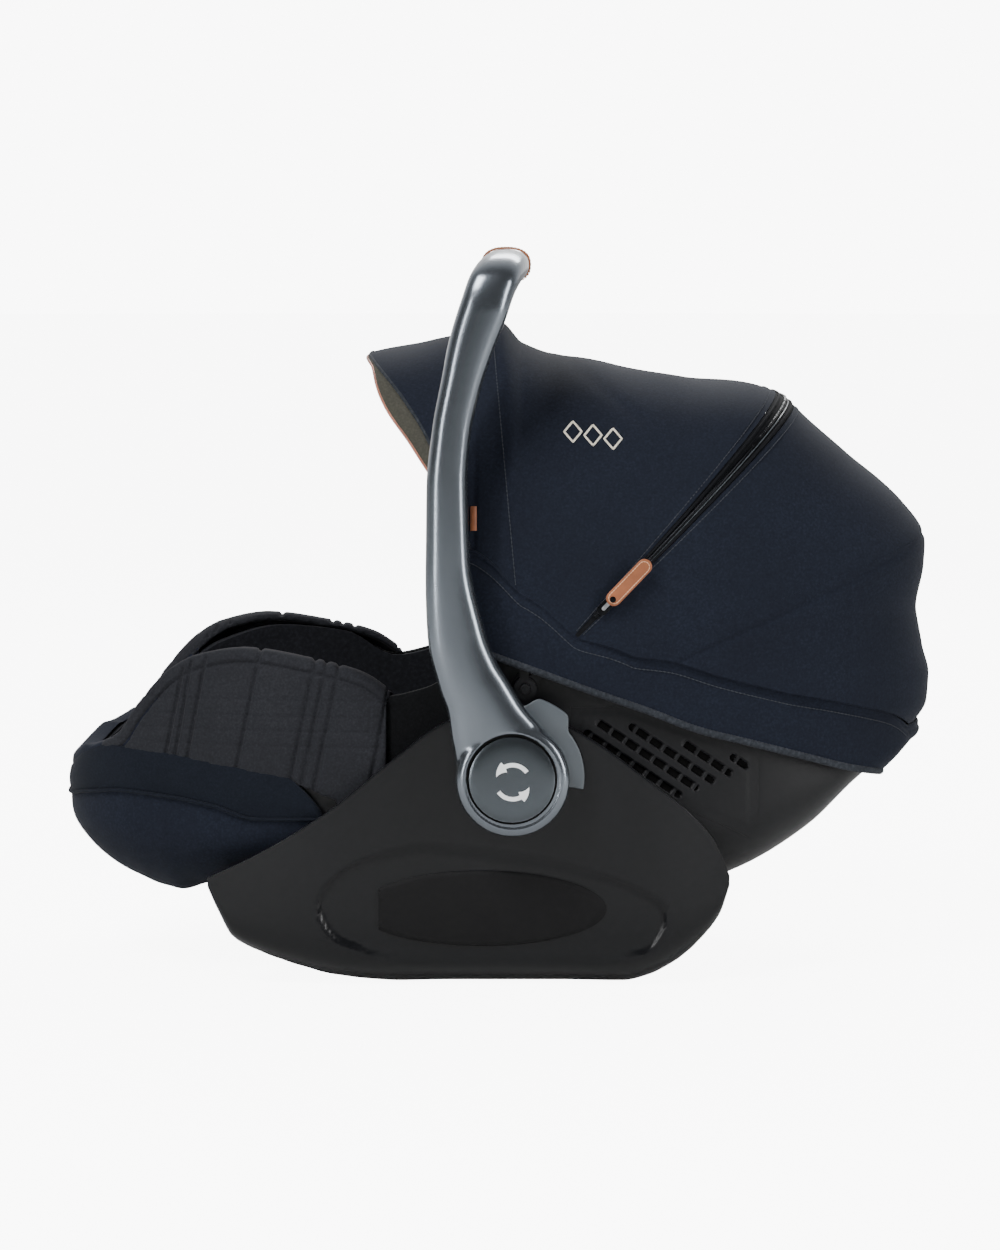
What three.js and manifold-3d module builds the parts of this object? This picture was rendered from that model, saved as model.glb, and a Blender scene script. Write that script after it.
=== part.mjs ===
// Infant car seat, lying flat: a rocker base, a reclining seat tub, a folding canopy and a swinging handle.
// Millimetres. +X points to the head end, +Z up, +Y to the child's right. The origin is on the ground
// under the middle of the object. "left" pieces lie at -Y and "right" pieces at +Y.
import * as THREE from "three";
import { mergeVertices } from "three/addons/utils/BufferGeometryUtils.js";
import Module from "manifold-3d";

const wasm = await Module();
wasm.setup();

// ---------- driving dimensions ----------
const HUB = { x: 10, z: 171 }; // axis of the handle and of the recline
const CANOPY_PIVOT = { x: 20, z: 240 };
const GAP = 0.4; // between pieces that touch
const WALL = 4; // base housing
const BASE_HALF_WIDTH = 184;
const SHELL_WALL = 3.5;
const SHELL = { centre: -6, halfLength: 346, halfWidth: 170, planPower: 2.6, sidePower: 3 };
const LINER = { outer: 6, inner: 15 }; // depths below the shell's outside
const SKIRT = { inner: -12, outer: -14.5 };
const CANOPY_HALF_WIDTH = 185;
const FABRIC = 2.5;
const PIN_RADIUS = 9;
const RUNNING = 0.4; // radial clearance of holes on pins
const HANDLE = { inside: 193, outside: 218, hubRadius: 45, thickness: 25 };
const CROSSBAR_TOP = { x: 5, z: 574.5 };
const SIDES = [
  { s: -1, name: "left" },
  { s: 1, name: "right" },
];
const DEG = Math.PI / 180;

// ---------- curves ----------
// A smooth curve through points [x, y] that never overshoots them.
function curve(points) {
  const n = points.length;
  const slope = points.slice(1).map((p, i) => (p[1] - points[i][1]) / (p[0] - points[i][0]));
  const tangent = points.map((p, i) => {
    if (i === 0) return slope[0];
    if (i === n - 1) return slope[n - 2];
    if (slope[i - 1] * slope[i] <= 0) return 0;
    return (2 * slope[i - 1] * slope[i]) / (slope[i - 1] + slope[i]);
  });
  return (x) => {
    if (x <= points[0][0]) return points[0][1];
    if (x >= points[n - 1][0]) return points[n - 1][1];
    let i = 0;
    while (x > points[i + 1][0]) i++;
    const width = points[i + 1][0] - points[i][0];
    const t = (x - points[i][0]) / width;
    const a = points[i][1];
    const b = points[i + 1][1];
    const ta = tangent[i] * width;
    const tb = tangent[i + 1] * width;
    return a + t * (ta + t * (3 * (b - a) - 2 * ta - tb + t * (2 * (a - b) + ta + tb)));
  };
}

const lerp = (a, b, t) => a + (b - a) * t;

// The factor that puts a direction (cos, sin) on a unit superellipse.
function roundness(angle, power) {
  const c = Math.abs(Math.cos(angle)) ** power;
  const s = Math.abs(Math.sin(angle)) ** power;
  return (c + s) ** (-1 / power);
}

// ---------- solids ----------
function signedVolume(points, faces) {
  let sum = 0;
  const [a, b, c] = [new THREE.Vector3(), new THREE.Vector3(), new THREE.Vector3()];
  for (const [i, j, k] of faces) {
    a.fromArray(points[i]);
    b.fromArray(points[j]);
    c.fromArray(points[k]);
    sum += a.dot(b.cross(c));
  }
  return sum / 6;
}

function geometryFrom(points, faces) {
  const flip = signedVolume(points, faces) < 0;
  const index = faces.flatMap(([i, j, k]) => (flip ? [i, k, j] : [i, j, k]));
  const geometry = new THREE.BufferGeometry();
  geometry.setAttribute("position", new THREE.Float32BufferAttribute(points.flat(), 3));
  geometry.setIndex(index);
  return geometry;
}

// A closed sheet between two surfaces given over u and v in 0..1.
function sheet(nu, nv, outer, inner) {
  const points = [];
  const faces = [];
  for (const surface of [outer, inner])
    for (let i = 0; i <= nu; i++) for (let j = 0; j <= nv; j++) points.push(surface(i / nu, j / nv));
  const half = (nu + 1) * (nv + 1);
  const at = (i, j) => i * (nv + 1) + j;
  const quad = (a, b, c, d) => faces.push([a, b, c], [a, c, d]);
  for (let i = 0; i < nu; i++)
    for (let j = 0; j < nv; j++) {
      quad(at(i, j), at(i + 1, j), at(i + 1, j + 1), at(i, j + 1));
      quad(half + at(i, j), half + at(i, j + 1), half + at(i + 1, j + 1), half + at(i + 1, j));
    }
  for (let i = 0; i < nu; i++) {
    quad(at(i, 0), half + at(i, 0), half + at(i + 1, 0), at(i + 1, 0));
    quad(at(i, nv), at(i + 1, nv), half + at(i + 1, nv), half + at(i, nv));
  }
  for (let j = 0; j < nv; j++) {
    quad(at(0, j), at(0, j + 1), half + at(0, j + 1), half + at(0, j));
    quad(at(nu, j), half + at(nu, j), half + at(nu, j + 1), at(nu, j + 1));
  }
  return geometryFrom(points, faces);
}

// A closed dish between two surfaces given over an angle and a share 0..1 from the middle to the edge.
function dish(nAngle, nShare, outer, inner) {
  const points = [];
  const faces = [];
  for (const surface of [outer, inner]) {
    points.push(surface(0, 0));
    for (let i = 1; i <= nShare; i++)
      for (let j = 0; j < nAngle; j++) points.push(surface((2 * Math.PI * j) / nAngle, i / nShare));
  }
  const half = 1 + nShare * nAngle;
  const at = (i, j) => 1 + (i - 1) * nAngle + (j % nAngle);
  for (let j = 0; j < nAngle; j++) {
    faces.push([0, at(1, j), at(1, j + 1)], [half, half + at(1, j + 1), half + at(1, j)]);
    for (let i = 1; i < nShare; i++) {
      const [a, b, c, d] = [at(i, j), at(i + 1, j), at(i + 1, j + 1), at(i, j + 1)];
      faces.push([a, b, c], [a, c, d], [half + a, half + c, half + b], [half + a, half + d, half + c]);
    }
    const [e, f] = [at(nShare, j), at(nShare, j + 1)];
    faces.push([e, half + e, half + f], [e, half + f, f]);
  }
  return geometryFrom(points, faces);
}

// A closed loft through rings of equally many points, with flat fans on its ends.
function loft(rings) {
  const points = rings.flat();
  const n = rings[0].length;
  const faces = [];
  for (let i = 0; i + 1 < rings.length; i++)
    for (let j = 0; j < n; j++) {
      const [a, b] = [i * n + j, i * n + ((j + 1) % n)];
      faces.push([a, b, b + n], [a, b + n, a + n]);
    }
  for (const [ring, start, turn] of [
    [rings[0], 0, 1],
    [rings[rings.length - 1], (rings.length - 1) * n, -1],
  ]) {
    const centre = [0, 1, 2].map((k) => ring.reduce((sum, p) => sum + p[k], 0) / n);
    points.push(centre);
    const c = points.length - 1;
    for (let j = 0; j < n; j++) {
      const [a, b] = [start + j, start + ((j + 1) % n)];
      faces.push(turn > 0 ? [c, b, a] : [c, a, b]);
    }
  }
  return geometryFrom(points, faces);
}

function toManifold(geometry) {
  const bare = geometry.clone();
  bare.deleteAttribute("normal");
  bare.deleteAttribute("uv");
  const merged = mergeVertices(bare, 1e-3);
  return new wasm.Manifold(
    new wasm.Mesh({
      numProp: 3,
      vertProperties: new Float32Array(merged.attributes.position.array),
      triVerts: new Uint32Array(merged.index.array),
    }),
  );
}

function toGeometry(solid) {
  const mesh = solid.getMesh();
  const geometry = new THREE.BufferGeometry();
  geometry.setAttribute("position", new THREE.BufferAttribute(new Float32Array(mesh.vertProperties), 3));
  geometry.setIndex(new THREE.BufferAttribute(new Uint32Array(mesh.triVerts), 1));
  return geometry;
}

function cut(geometry, ...tools) {
  return toGeometry(tools.reduce((body, tool) => body.subtract(toManifold(tool)), toManifold(geometry)));
}

function join(geometry, ...others) {
  return toGeometry(others.reduce((body, other) => body.add(toManifold(other)), toManifold(geometry)));
}

// A cylinder along Y between two distances from the middle plane, on one side.
function pin(x, z, radius, near, far, side, segments = 24) {
  const geometry = new THREE.CylinderGeometry(radius, radius, far - near, segments);
  geometry.translate(x, (side * (near + far)) / 2, z);
  return geometry;
}

function box(x0, x1, y0, y1, z0, z1) {
  const geometry = new THREE.BoxGeometry(x1 - x0, y1 - y0, z1 - z0);
  geometry.translate((x0 + x1) / 2, (y0 + y1) / 2, (z0 + z1) / 2);
  return geometry;
}

// A plate in an upright X-Z plane, extruded along Y between two distances from the middle plane.
function plate(shape, near, far, side) {
  const settings = { depth: far - near, bevelEnabled: false, curveSegments: 10 };
  const geometry = new THREE.ExtrudeGeometry(shape, settings);
  geometry.rotateX(Math.PI / 2);
  geometry.translate(0, side > 0 ? far : -near, 0);
  return geometry;
}

// ---------- base housing ----------
const baseRim = curve([
  [-234, 87],
  [-197, 105],
  [-161, 126],
  [-130, 147],
  [-81, 187],
  [-45, 213],
  [-5, 226],
  [34, 219],
  [71, 201],
  [128, 159],
  [153, 138],
  [171, 117],
  [180, 98],
  [184, 88],
]);
const baseKeel = curve([
  [-234, 80],
  [-226, 60],
  [-215, 38],
  [-197, 27],
  [-160, 13],
  [-130, 5],
  [-80, 0],
  [100, 0],
  [120, 5],
  [144, 18],
  [165, 38],
  [177, 56],
  [184, 80],
]);
const baseHalfWidth = curve([
  [-234, 174],
  [-120, BASE_HALF_WIDTH],
  [100, BASE_HALF_WIDTH],
  [184, 168],
]);
const BASE_POWER = 8;
const SOLE = 6; // height lost to the flat underside

// Depth of the pressed oval panel in the side wall, full inside the oval and none outside.
function panelDepth(x, z) {
  const along = (x + 8) / 142;
  const up = (z - 66) / (z > 66 ? 52 - 26 * Math.max(along, 0) ** 2 : 44);
  const edge = Math.hypot(Math.abs(along) ** 1.4, up);
  return 4 * THREE.MathUtils.smoothstep(1.04 - edge, 0, 0.12);
}

function basePoint(x, v, depth) {
  const angle = (v * Math.PI) / 2;
  const k = roundness(angle, BASE_POWER);
  const h = 1 - k * Math.cos(angle);
  const keel = baseKeel(x) + depth;
  const z = keel + Math.max(0, (baseRim(x) - keel + SOLE) * h - SOLE);
  const wall = Math.abs(v) > 0.4 ? panelDepth(x, z) : 0;
  return [x, (baseHalfWidth(x) - depth) * k * Math.sin(angle) - Math.sign(v) * wall, z];
}

// The outside of the side wall at a place in the side view.
function baseWallY(x, z) {
  const c = 1 - (z - baseKeel(x) + SOLE) / (baseRim(x) - baseKeel(x) + SOLE);
  return baseHalfWidth(x) * (1 - c ** BASE_POWER) ** (1 / BASE_POWER) - panelDepth(x, z);
}

function baseHousing() {
  // Stations along the housing, closer together near its ends.
  const margin = 0.08;
  const station = (u) => Math.cos(Math.PI * lerp(margin, 1 - margin, u)) / Math.cos(margin * Math.PI);
  const along = (u) => lerp(-234, 184, 0.5 - 0.5 * station(u));
  const surface = (depth) => (u, v) => basePoint(along(u), 2 * v - 1, depth);
  let body = sheet(26, 20, surface(0), surface(WALL));
  // Both ends are open in the middle, so that the tub can swing.
  body = cut(body, box(-260, -196, -146, 146, 20, 130), box(164, 200, -146, 146, 42, 130));
  for (const { s } of SIDES) body = cut(body, pin(HUB.x, HUB.z, PIN_RADIUS + RUNNING, 170, 200, s));
  return body;
}

function sidePad(side) {
  const surface = (lift) => (angle, share) => {
    const x = Math.max(-14 + 99 * share * Math.cos(angle), -97);
    const z = 63 + 31 * share * Math.sin(angle);
    return [x, side * (baseWallY(x, z) + lift), z];
  };
  return dish(20, 3, surface(2.4), surface(0.9));
}

// ---------- seat tub ----------
const tubKeel = curve([
  [-346, 80],
  [-300, 84],
  [-205, 88],
  [-150, 80],
  [-100, 67],
  [0, 50],
  [100, 50],
  [150, 56],
  [197, 67],
  [254, 95],
  [290, 130],
  [325, 160],
  [340, 178],
]);
const tubShoulder = curve([
  [-352, 135],
  [-250, 125],
  [-150, 135],
  [0, 150],
  [150, 150],
  [250, 165],
  [340, 195],
]);
const shellRim = curve([
  [-352, 163],
  [-335, 178],
  [-310, 191],
  [-282, 225],
  [-250, 244],
  [-200, 256],
  [-140, 250],
  [-95, 228],
  [-60, 235],
  [-10, 262],
  [60, 255],
  [150, 234],
  [250, 214],
  [340, 203],
]);

const TUB_GRID = { turns: 34, steps: 8 };

// A place on the tub: turn around the plan outline, share from the middle (0) to the wall (1).
function tubWall(turn, depth) {
  const k = roundness(turn, SHELL.planPower);
  return {
    x: SHELL.centre + (SHELL.halfLength - depth) * k * Math.cos(turn),
    y: (SHELL.halfWidth - depth) * k * Math.sin(turn),
  };
}

function tubPoint(turn, share, depth) {
  const wall = tubWall(turn, depth);
  const x = SHELL.centre + (wall.x - SHELL.centre) * share;
  const rise = 1 - (1 - share ** SHELL.sidePower) ** (1 / SHELL.sidePower);
  const keel = tubKeel(x) + depth;
  return [x, wall.y * share, keel + (tubShoulder(wall.x) - keel) * rise];
}

// The share at which the surface reaches a height.
function tubShareAt(turn, z, depth) {
  let [low, high] = [0.4, 1];
  if (z >= tubShoulder(tubWall(turn, depth).x)) return 1;
  for (let i = 0; i < 24; i++) {
    const middle = (low + high) / 2;
    if (tubPoint(turn, middle, depth)[2] < z) low = middle;
    else high = middle;
  }
  return high;
}

// The same surface at a given height, straight up above the shoulder.
function tubAt(turn, z, depth) {
  const wall = tubWall(turn, depth);
  const share = tubShareAt(turn, z, depth);
  return [SHELL.centre + (wall.x - SHELL.centre) * share, wall.y * share, z];
}

// The whole tub, with its rim at a height over the plan outline.
function tubLayer(outerDepth, innerDepth, rim, nTurn, nShare) {
  const bowlShare = 0.75;
  const surface = (depth) => (turn, share) => {
    if (share <= bowlShare) {
      const angle = ((share / bowlShare) * Math.PI) / 2;
      return tubPoint(turn, Math.min(1, roundness(angle, SHELL.sidePower) * Math.sin(angle)), depth);
    }
    const wall = tubWall(turn, depth);
    const up = (share - bowlShare) / (1 - bowlShare);
    return [wall.x, wall.y, lerp(tubShoulder(wall.x), rim(tubWall(turn, 0).x), up)];
  };
  return dish(nTurn, nShare, surface(outerDepth), surface(innerDepth));
}

// Height of the tub at a place in plan.
function tubHeight(x, y, depth) {
  const p = SHELL.planPower;
  const a = Math.abs(x - SHELL.centre) / (SHELL.halfLength - depth);
  const b = Math.abs(y) / (SHELL.halfWidth - depth);
  const share = Math.min(0.999, (a ** p + b ** p) ** (1 / p));
  const rise = 1 - (1 - share ** SHELL.sidePower) ** (1 / SHELL.sidePower);
  const keel = tubKeel(x) + depth;
  const wallX = SHELL.centre + (x - SHELL.centre) / Math.max(share, 0.01);
  return keel + (tubShoulder(wallX) - keel) * rise;
}

// The turn at which the outline passes a given x, on the -Y side.
function turnAt(x) {
  let [low, high] = [-Math.PI, 0];
  for (let i = 0; i < 30; i++) {
    const middle = (low + high) / 2;
    if (tubWall(middle, 0).x < x) low = middle;
    else high = middle;
  }
  return (low + high) / 2;
}

function seatShell() {
  let body = tubLayer(0, SHELL_WALL, shellRim, TUB_GRID.turns, TUB_GRID.steps);
  for (const { s } of SIDES) body = cut(body, pin(HUB.x, HUB.z, PIN_RADIUS + RUNNING, 160, 176, s));
  return body;
}

function seatLiner() {
  return tubLayer(LINER.outer, LINER.inner, (x) => shellRim(x) + 3, TUB_GRID.turns, TUB_GRID.steps);
}

const VENT = { from: 58, to: 206, slots: 4, slotLength: 68, slotHeight: 4, slope: 24, pitch: [8, 9] };

function ventGrille(side) {
  const span = [turnAt(VENT.from), turnAt(VENT.to)];
  const edgeLow = (x) => 184 - 0.45 * (x - VENT.from);
  const edgeHigh = (x) => Math.min(222, 236 - 0.36 * (x - VENT.from));
  const surface = (depth) => (u, v) => {
    const turn = lerp(span[0], span[1], u);
    const x = tubWall(turn, 0).x;
    const p = tubAt(turn, lerp(edgeLow(x), edgeHigh(x), v), depth);
    return [p[0], -side * p[1], p[2]];
  };
  let body = sheet(12, 3, surface(-3), surface(-0.5));
  for (let i = 0; i < VENT.slots; i++) {
    const half = [VENT.slotLength / 2, VENT.slotHeight / 2];
    const slot = box(-half[0], half[0], -30, 30, -half[1], half[1]);
    slot.rotateY(VENT.slope * DEG);
    slot.translate(120 + (VENT.pitch[0] + 2) * i, side * 165, 180 + (VENT.pitch[1] - 1) * i);
    body = cut(body, slot);
  }
  return body;
}

const FOOT_REACH = -140; // where the boot and the band end on each side
const FOOT_WRAP = { outer: -8, inner: -4 };

const bandTop = curve([
  [-352, 157],
  [-335, 176],
  [-310, 186],
  [-274, 184],
  [-207, 174],
  [-163, 166],
  [-138, 155],
]);
const bandBottom = curve([
  [-352, 136],
  [-330, 144],
  [-297, 149],
  [-262, 147],
  [-224, 141],
  [-193, 132],
  [-138, 133],
]);

function footBand() {
  const first = turnAt(FOOT_REACH);
  const surface = (depth) => (u, v) => {
    const turn = lerp(first, -2 * Math.PI - first, u);
    const x = tubWall(turn, 0).x;
    return tubAt(turn, lerp(bandBottom(x), bandTop(x), v), depth);
  };
  return sheet(22, 4, surface(FOOT_WRAP.outer), surface(FOOT_WRAP.inner));
}

// The boot hangs below the foot end of the tub like a padded bag.
const bootSag = curve([
  [-352, 14],
  [-320, 34],
  [-268, 36],
  [-240, 24],
  [-205, 4],
]);

function footBoot() {
  const first = turnAt(FOOT_REACH);
  const surface = (depth) => (u, v) => {
    const turn = lerp(first, -2 * Math.PI - first, u);
    const top = bandBottom(tubWall(turn, 0).x) - 1.5;
    if (v > 0.99) return tubAt(turn, top, depth);
    const share = lerp(0.6, tubShareAt(turn, top, depth), Math.sin((v * Math.PI) / 1.75));
    const p = tubPoint(turn, share, depth);
    const sag = depth < FOOT_WRAP.inner ? bootSag(p[0]) * (1 - share ** 6) : 0;
    return [p[0], p[1], p[2] - sag];
  };
  return sheet(22, 7, surface(FOOT_WRAP.outer), surface(FOOT_WRAP.inner));
}

const coverTop = curve([
  [-330, 186],
  [-306, 200],
  [-290, 224],
  [-263, 254],
  [-241, 266],
  [-206, 272],
  [-150, 264],
  [-112, 254],
  [-84, 236],
]);

function footCover(side) {
  const span = [turnAt(-322), turnAt(-86)];
  const surface = (depth) => (u, v) => {
    const turn = lerp(span[0], span[1], u);
    const x = tubWall(turn, 0).x;
    const low = bandTop(x) - 24 * THREE.MathUtils.smoothstep(x, -134, -116) + 2;
    const p = tubAt(turn, lerp(low, coverTop(x), v), depth);
    return [p[0], -side * p[1], p[2]];
  };
  return sheet(14, 5, surface(FOOT_WRAP.outer), surface(FOOT_WRAP.inner));
}

// ---------- canopy ----------
// Polar curves round the canopy pivot, through places [x, z] in the side view.
const placeAngle = ([x, z]) => Math.atan2(z - CANOPY_PIVOT.z, x - CANOPY_PIVOT.x) / DEG;
const placeRadius = ([x, z]) => Math.hypot(x - CANOPY_PIVOT.x, z - CANOPY_PIVOT.z);
const polarCurve = (places) => curve(places.map((place) => [placeAngle(place), placeRadius(place)]));

const canopyRadius = polarCurve([
  [344, 193],
  [357, 215],
  [358, 236],
  [352, 260],
  [347, 288],
  [353, 330],
  [352, 354],
  [335, 378],
  [285, 422],
  [255, 448],
  [236, 465],
  [154, 481],
  [95, 491],
  [45, 500],
  [19, 509],
  [0, 527],
  [-18, 519],
  [-59, 511],
  [-107, 502],
]);
const seamRadius = polarCurve([
  [341, 194],
  [322, 210],
  [270, 226],
  [228, 235],
  [173, 250],
  [140, 261],
  [104, 267],
  [57, 284],
  [18, 315],
  [-23, 350],
]);
const canopyPower = curve([
  [0, 2.6],
  [60, 3.2],
  [114, 3.2],
]);

// The canopy's surface: an angle round the pivot, and an arc position from -1 (left seam) to 1 (right seam).
function canopyPoint(degrees, arc, inset, seam = seamRadius(degrees), drop = inset) {
  const power = canopyPower(degrees);
  const radius = canopyRadius(degrees) - drop;
  const ratio = Math.min(0.985, seam / radius);
  const end = Math.atan2((1 - ratio ** power) ** (1 / power), ratio);
  const angle = arc * end;
  const k = roundness(angle, power);
  const r = radius * k * Math.cos(angle);
  const y = (CANOPY_HALF_WIDTH - inset) * k * Math.sin(angle);
  return [
    CANOPY_PIVOT.x + r * Math.cos(degrees * DEG),
    y,
    CANOPY_PIVOT.z + r * Math.sin(degrees * DEG),
    r,
  ];
}

// The hem leans forward as it rises: its angle over the distance from the pivot.
const hemAngle = curve(
  [
    [-22, 350],
    [-56, 435],
    [-75, 466],
    [-107, 502],
  ].map((place) => [placeRadius(place), placeAngle(place)]),
);

function canopyPanel(from, to, nu, nv, outer = 0, inner = FABRIC) {
  const surface = (inset) => (u, v) => canopyPoint(lerp(from, to, u), 2 * v - 1, inset).slice(0, 3);
  return sheet(nu, nv, surface(outer), surface(inner));
}

const ZIP_ANGLE = 46.3;
const ZIP_HALF = 1.6;
const BOW = { width: 9, thickness: 3.2, eye: 9, stem: 4 };
const REAR_ANGLE = 19;
// How far each bow sits inside the canopy's sides and under its top. The moving ones pass inside the skirt.
const REAR_BOW = { inset: 3.7, drop: 8, foot: 115 };
const ZIP_BOW = { inset: 9.6, drop: 7 };
const FRONT_BOW = { inset: 6, drop: 12 };
const TAPE_END = 80; // the tape's lower end, far enough from the pivot to clear the skirt when folded
const RIDGE_ANGLE = placeAngle([0, 527]);

function hemPoint(arc, inset, forward) {
  let degrees = 108;
  for (let i = 0; i < 8; i++) degrees = hemAngle(canopyPoint(degrees, arc, inset)[3]);
  return canopyPoint(degrees + forward, arc, inset).slice(0, 3).concat(degrees);
}

function frontPanel() {
  const from = ZIP_ANGLE + ZIP_HALF + 0.2;
  const surface = (inset) => (u, v) => {
    const arc = 2 * v - 1;
    const hem = hemPoint(arc, 0, 0)[3];
    const stations = [from, 58, 70, 80, 86, 90, RIDGE_ANGLE, 99, 105, hem];
    const place = u * (stations.length - 1);
    const i = Math.min(Math.floor(place), stations.length - 2);
    return canopyPoint(lerp(stations[i], stations[i + 1], place - i), arc, inset).slice(0, 3);
  };
  return sheet(9, 22, surface(0), surface(FABRIC));
}

// The lined brim that stands a little in front of the hem, wider at the sides than on top.
function visorLining() {
  const surface = (inset) => (u, v) => {
    const arc = 0.94 * (2 * v - 1);
    const reach = 0.6 + 4.4 * Math.sin(Math.PI * Math.min(1, Math.abs(arc))) ** 2;
    const hem = hemPoint(arc, inset, 0)[3];
    return canopyPoint(hem + 0.3 + u * reach, arc, inset + 1).slice(0, 3);
  };
  return sheet(2, 22, surface(0), surface(2));
}

// A flat bow under the cloth, set below the cloth's top by a drop and inside its sides by an inset.
function bow(degrees, inset, drop, foot) {
  const strip = (layer) => (u, v) => {
    const p = canopyPoint(degrees, 2 * v - 1, inset + layer, foot, drop + layer);
    const half = Math.atan2(BOW.width / 2, p[3]) / DEG;
    const turn = (degrees + (2 * u - 1) * half) * DEG;
    const reach = p[3];
    return [CANOPY_PIVOT.x + reach * Math.cos(turn), p[1], CANOPY_PIVOT.z + reach * Math.sin(turn)];
  };
  return sheet(1, 26, strip(0), strip(BOW.thickness));
}

// A moving bow ends in an eye on the canopy pivot.
function movingBow(degrees, inset, drop) {
  let body = bow(degrees, inset, drop, 7);
  const outside = CANOPY_HALF_WIDTH - inset;
  const [x, z] = [CANOPY_PIVOT.x, CANOPY_PIVOT.z];
  for (const { s } of SIDES) {
    body = join(body, pin(x, z, BOW.eye, outside - BOW.thickness, outside, s, 20));
    body = cut(body, pin(x, z, BOW.stem + RUNNING, 160, 190, s, 14));
  }
  return body;
}

function canopyMount(side) {
  const [x, z] = [CANOPY_PIVOT.x, CANOPY_PIVOT.z];
  const flange = pin(x, z, 12, SHELL.halfWidth + GAP, SHELL.halfWidth + 1.6, side, 20);
  const stem = pin(x, z, BOW.stem, SHELL.halfWidth + 1, 182, side, 14);
  return join(flange, stem);
}

const skirtLow = curve([
  [-30, 275],
  [-4, 265],
  [35, 251],
  [76, 236],
  [118, 221],
  [159, 205],
  [200, 194],
  [242, 182],
  [290, 168],
  [345, 150],
]);
const skirtHigh = curve([
  [-26, 350],
  [18, 315],
  [57, 284],
  [104, 267],
  [140, 261],
  [173, 250],
  [228, 235],
  [270, 226],
  [322, 210],
  [350, 192],
]);

function headSkirt() {
  const first = turnAt(-24);
  const surface = (depth) => (u, v) => {
    const turn = lerp(first, -first, u);
    const x = tubWall(turn, depth).x;
    return tubAt(turn, lerp(skirtLow(x), skirtHigh(x) - 2.5, v), depth);
  };
  return sheet(30, 3, surface(SKIRT.outer), surface(SKIRT.inner));
}


function zipTape() {
  const surface = (inset) => (u, v) => {
    const degrees = lerp(ZIP_ANGLE - ZIP_HALF, ZIP_ANGLE + ZIP_HALF, u);
    return canopyPoint(degrees, 2 * v - 1, inset, TAPE_END).slice(0, 3);
  };
  return sheet(1, 22, surface(0.2), surface(FABRIC - 0.2));
}

// A rounded bar lying along the zip on the left side of the canopy.
function zipBar(from, to, width, near, far) {
  const shape = new THREE.Shape();
  const half = width / 2;
  shape.moveTo(from + half, -half);
  shape.lineTo(to - half, -half);
  shape.absarc(to - half, 0, half, -Math.PI / 2, Math.PI / 2);
  shape.lineTo(from + half, half);
  shape.absarc(from + half, 0, half, Math.PI / 2, (3 * Math.PI) / 2);
  const bar = plate(shape, near, far, -1);
  bar.rotateY(-ZIP_ANGLE * DEG);
  bar.translate(CANOPY_PIVOT.x, 0, CANOPY_PIVOT.z);
  return bar;
}

// ---------- handle ----------
const FOOT_OF_ARM = [
  [4, 200, 64],
  [-12, 225, 58],
  [-25, 254, 50],
  [-34, 283, 46],
  [-41, 345, 35],
  [-41.5, 402, 32.5],
  [-38, 445, 31],
  [-31, 480, 32],
  [-22, 514, 36],
  [-13, 540, 38],
];
const ARM_MIDDLE = (HANDLE.inside + HANDLE.outside) / 2;
// Centre line of half the handle, from the hub over the corner to the middle: [x, y, z, width].
const HALF_HANDLE = FOOT_OF_ARM.map(([x, z, w]) => [x, ARM_MIDDLE, z, w]).concat([
  [-6, ARM_MIDDLE - 5, 560, 38],
  [0, ARM_MIDDLE - 20, 570, 38],
  [4, ARM_MIDDLE - 44, 574, 37],
  [CROSSBAR_TOP.x, ARM_MIDDLE - 75, CROSSBAR_TOP.z, 36],
  [CROSSBAR_TOP.x, 80, CROSSBAR_TOP.z, 36],
  [CROSSBAR_TOP.x, 0, CROSSBAR_TOP.z, 36],
]);
const GRIP = { half: 74, outer: 2.2, inner: 0.4 };
const CORNER_END = 13; // index in HALF_HANDLE where the arm meets the crossbar

function handleRing(index, side, grow = 0, shift = 0) {
  const at = (i) => new THREE.Vector3(HALF_HANDLE[i][0], side * HALF_HANDLE[i][1], HALF_HANDLE[i][2]);
  const last = HALF_HANDLE.length - 1;
  const tangent = at(Math.min(index + 1, last)).sub(at(Math.max(index - 1, 0))).normalize();
  if (index >= CORNER_END) tangent.set(0, -side, 0);
  const wide = new THREE.Vector3(1, 0, 0).addScaledVector(tangent, -tangent.x).normalize();
  const thin = new THREE.Vector3().crossVectors(tangent, wide);
  const centre = at(index).addScaledVector(tangent, shift);
  const ring = [];
  const sides = 12;
  for (let i = 0; i < sides; i++) {
    const angle = (2 * Math.PI * i) / sides;
    const k = roundness(angle, 2.5);
    const a = (HALF_HANDLE[index][3] / 2 + grow) * k * Math.cos(angle);
    const b = (HANDLE.thickness / 2 + grow) * k * Math.sin(angle);
    ring.push(centre.clone().addScaledVector(wide, a).addScaledVector(thin, b).toArray());
  }
  return ring;
}

function handleArm(side) {
  const rings = [];
  for (let i = 0; i <= CORNER_END; i++) rings.push(handleRing(i, side));
  const rim = HANDLE.hubRadius;
  const hub = pin(HUB.x, HUB.z, rim, HANDLE.inside, HANDLE.outside, side, 32);
  const arm = join(loft(rings), hub);
  const keep = box(-200, 200, ...(side > 0 ? [HANDLE.inside, 230] : [-230, -HANDLE.inside]), 0, 500);
  const low = toManifold(arm).intersect(toManifold(join(keep, box(-200, 200, -230, 230, 499, 700))));
  const hole = pin(HUB.x, HUB.z, PIN_RADIUS + RUNNING, HANDLE.inside - 10, 205, side);
  return cut(toGeometry(low), hole);
}

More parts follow.
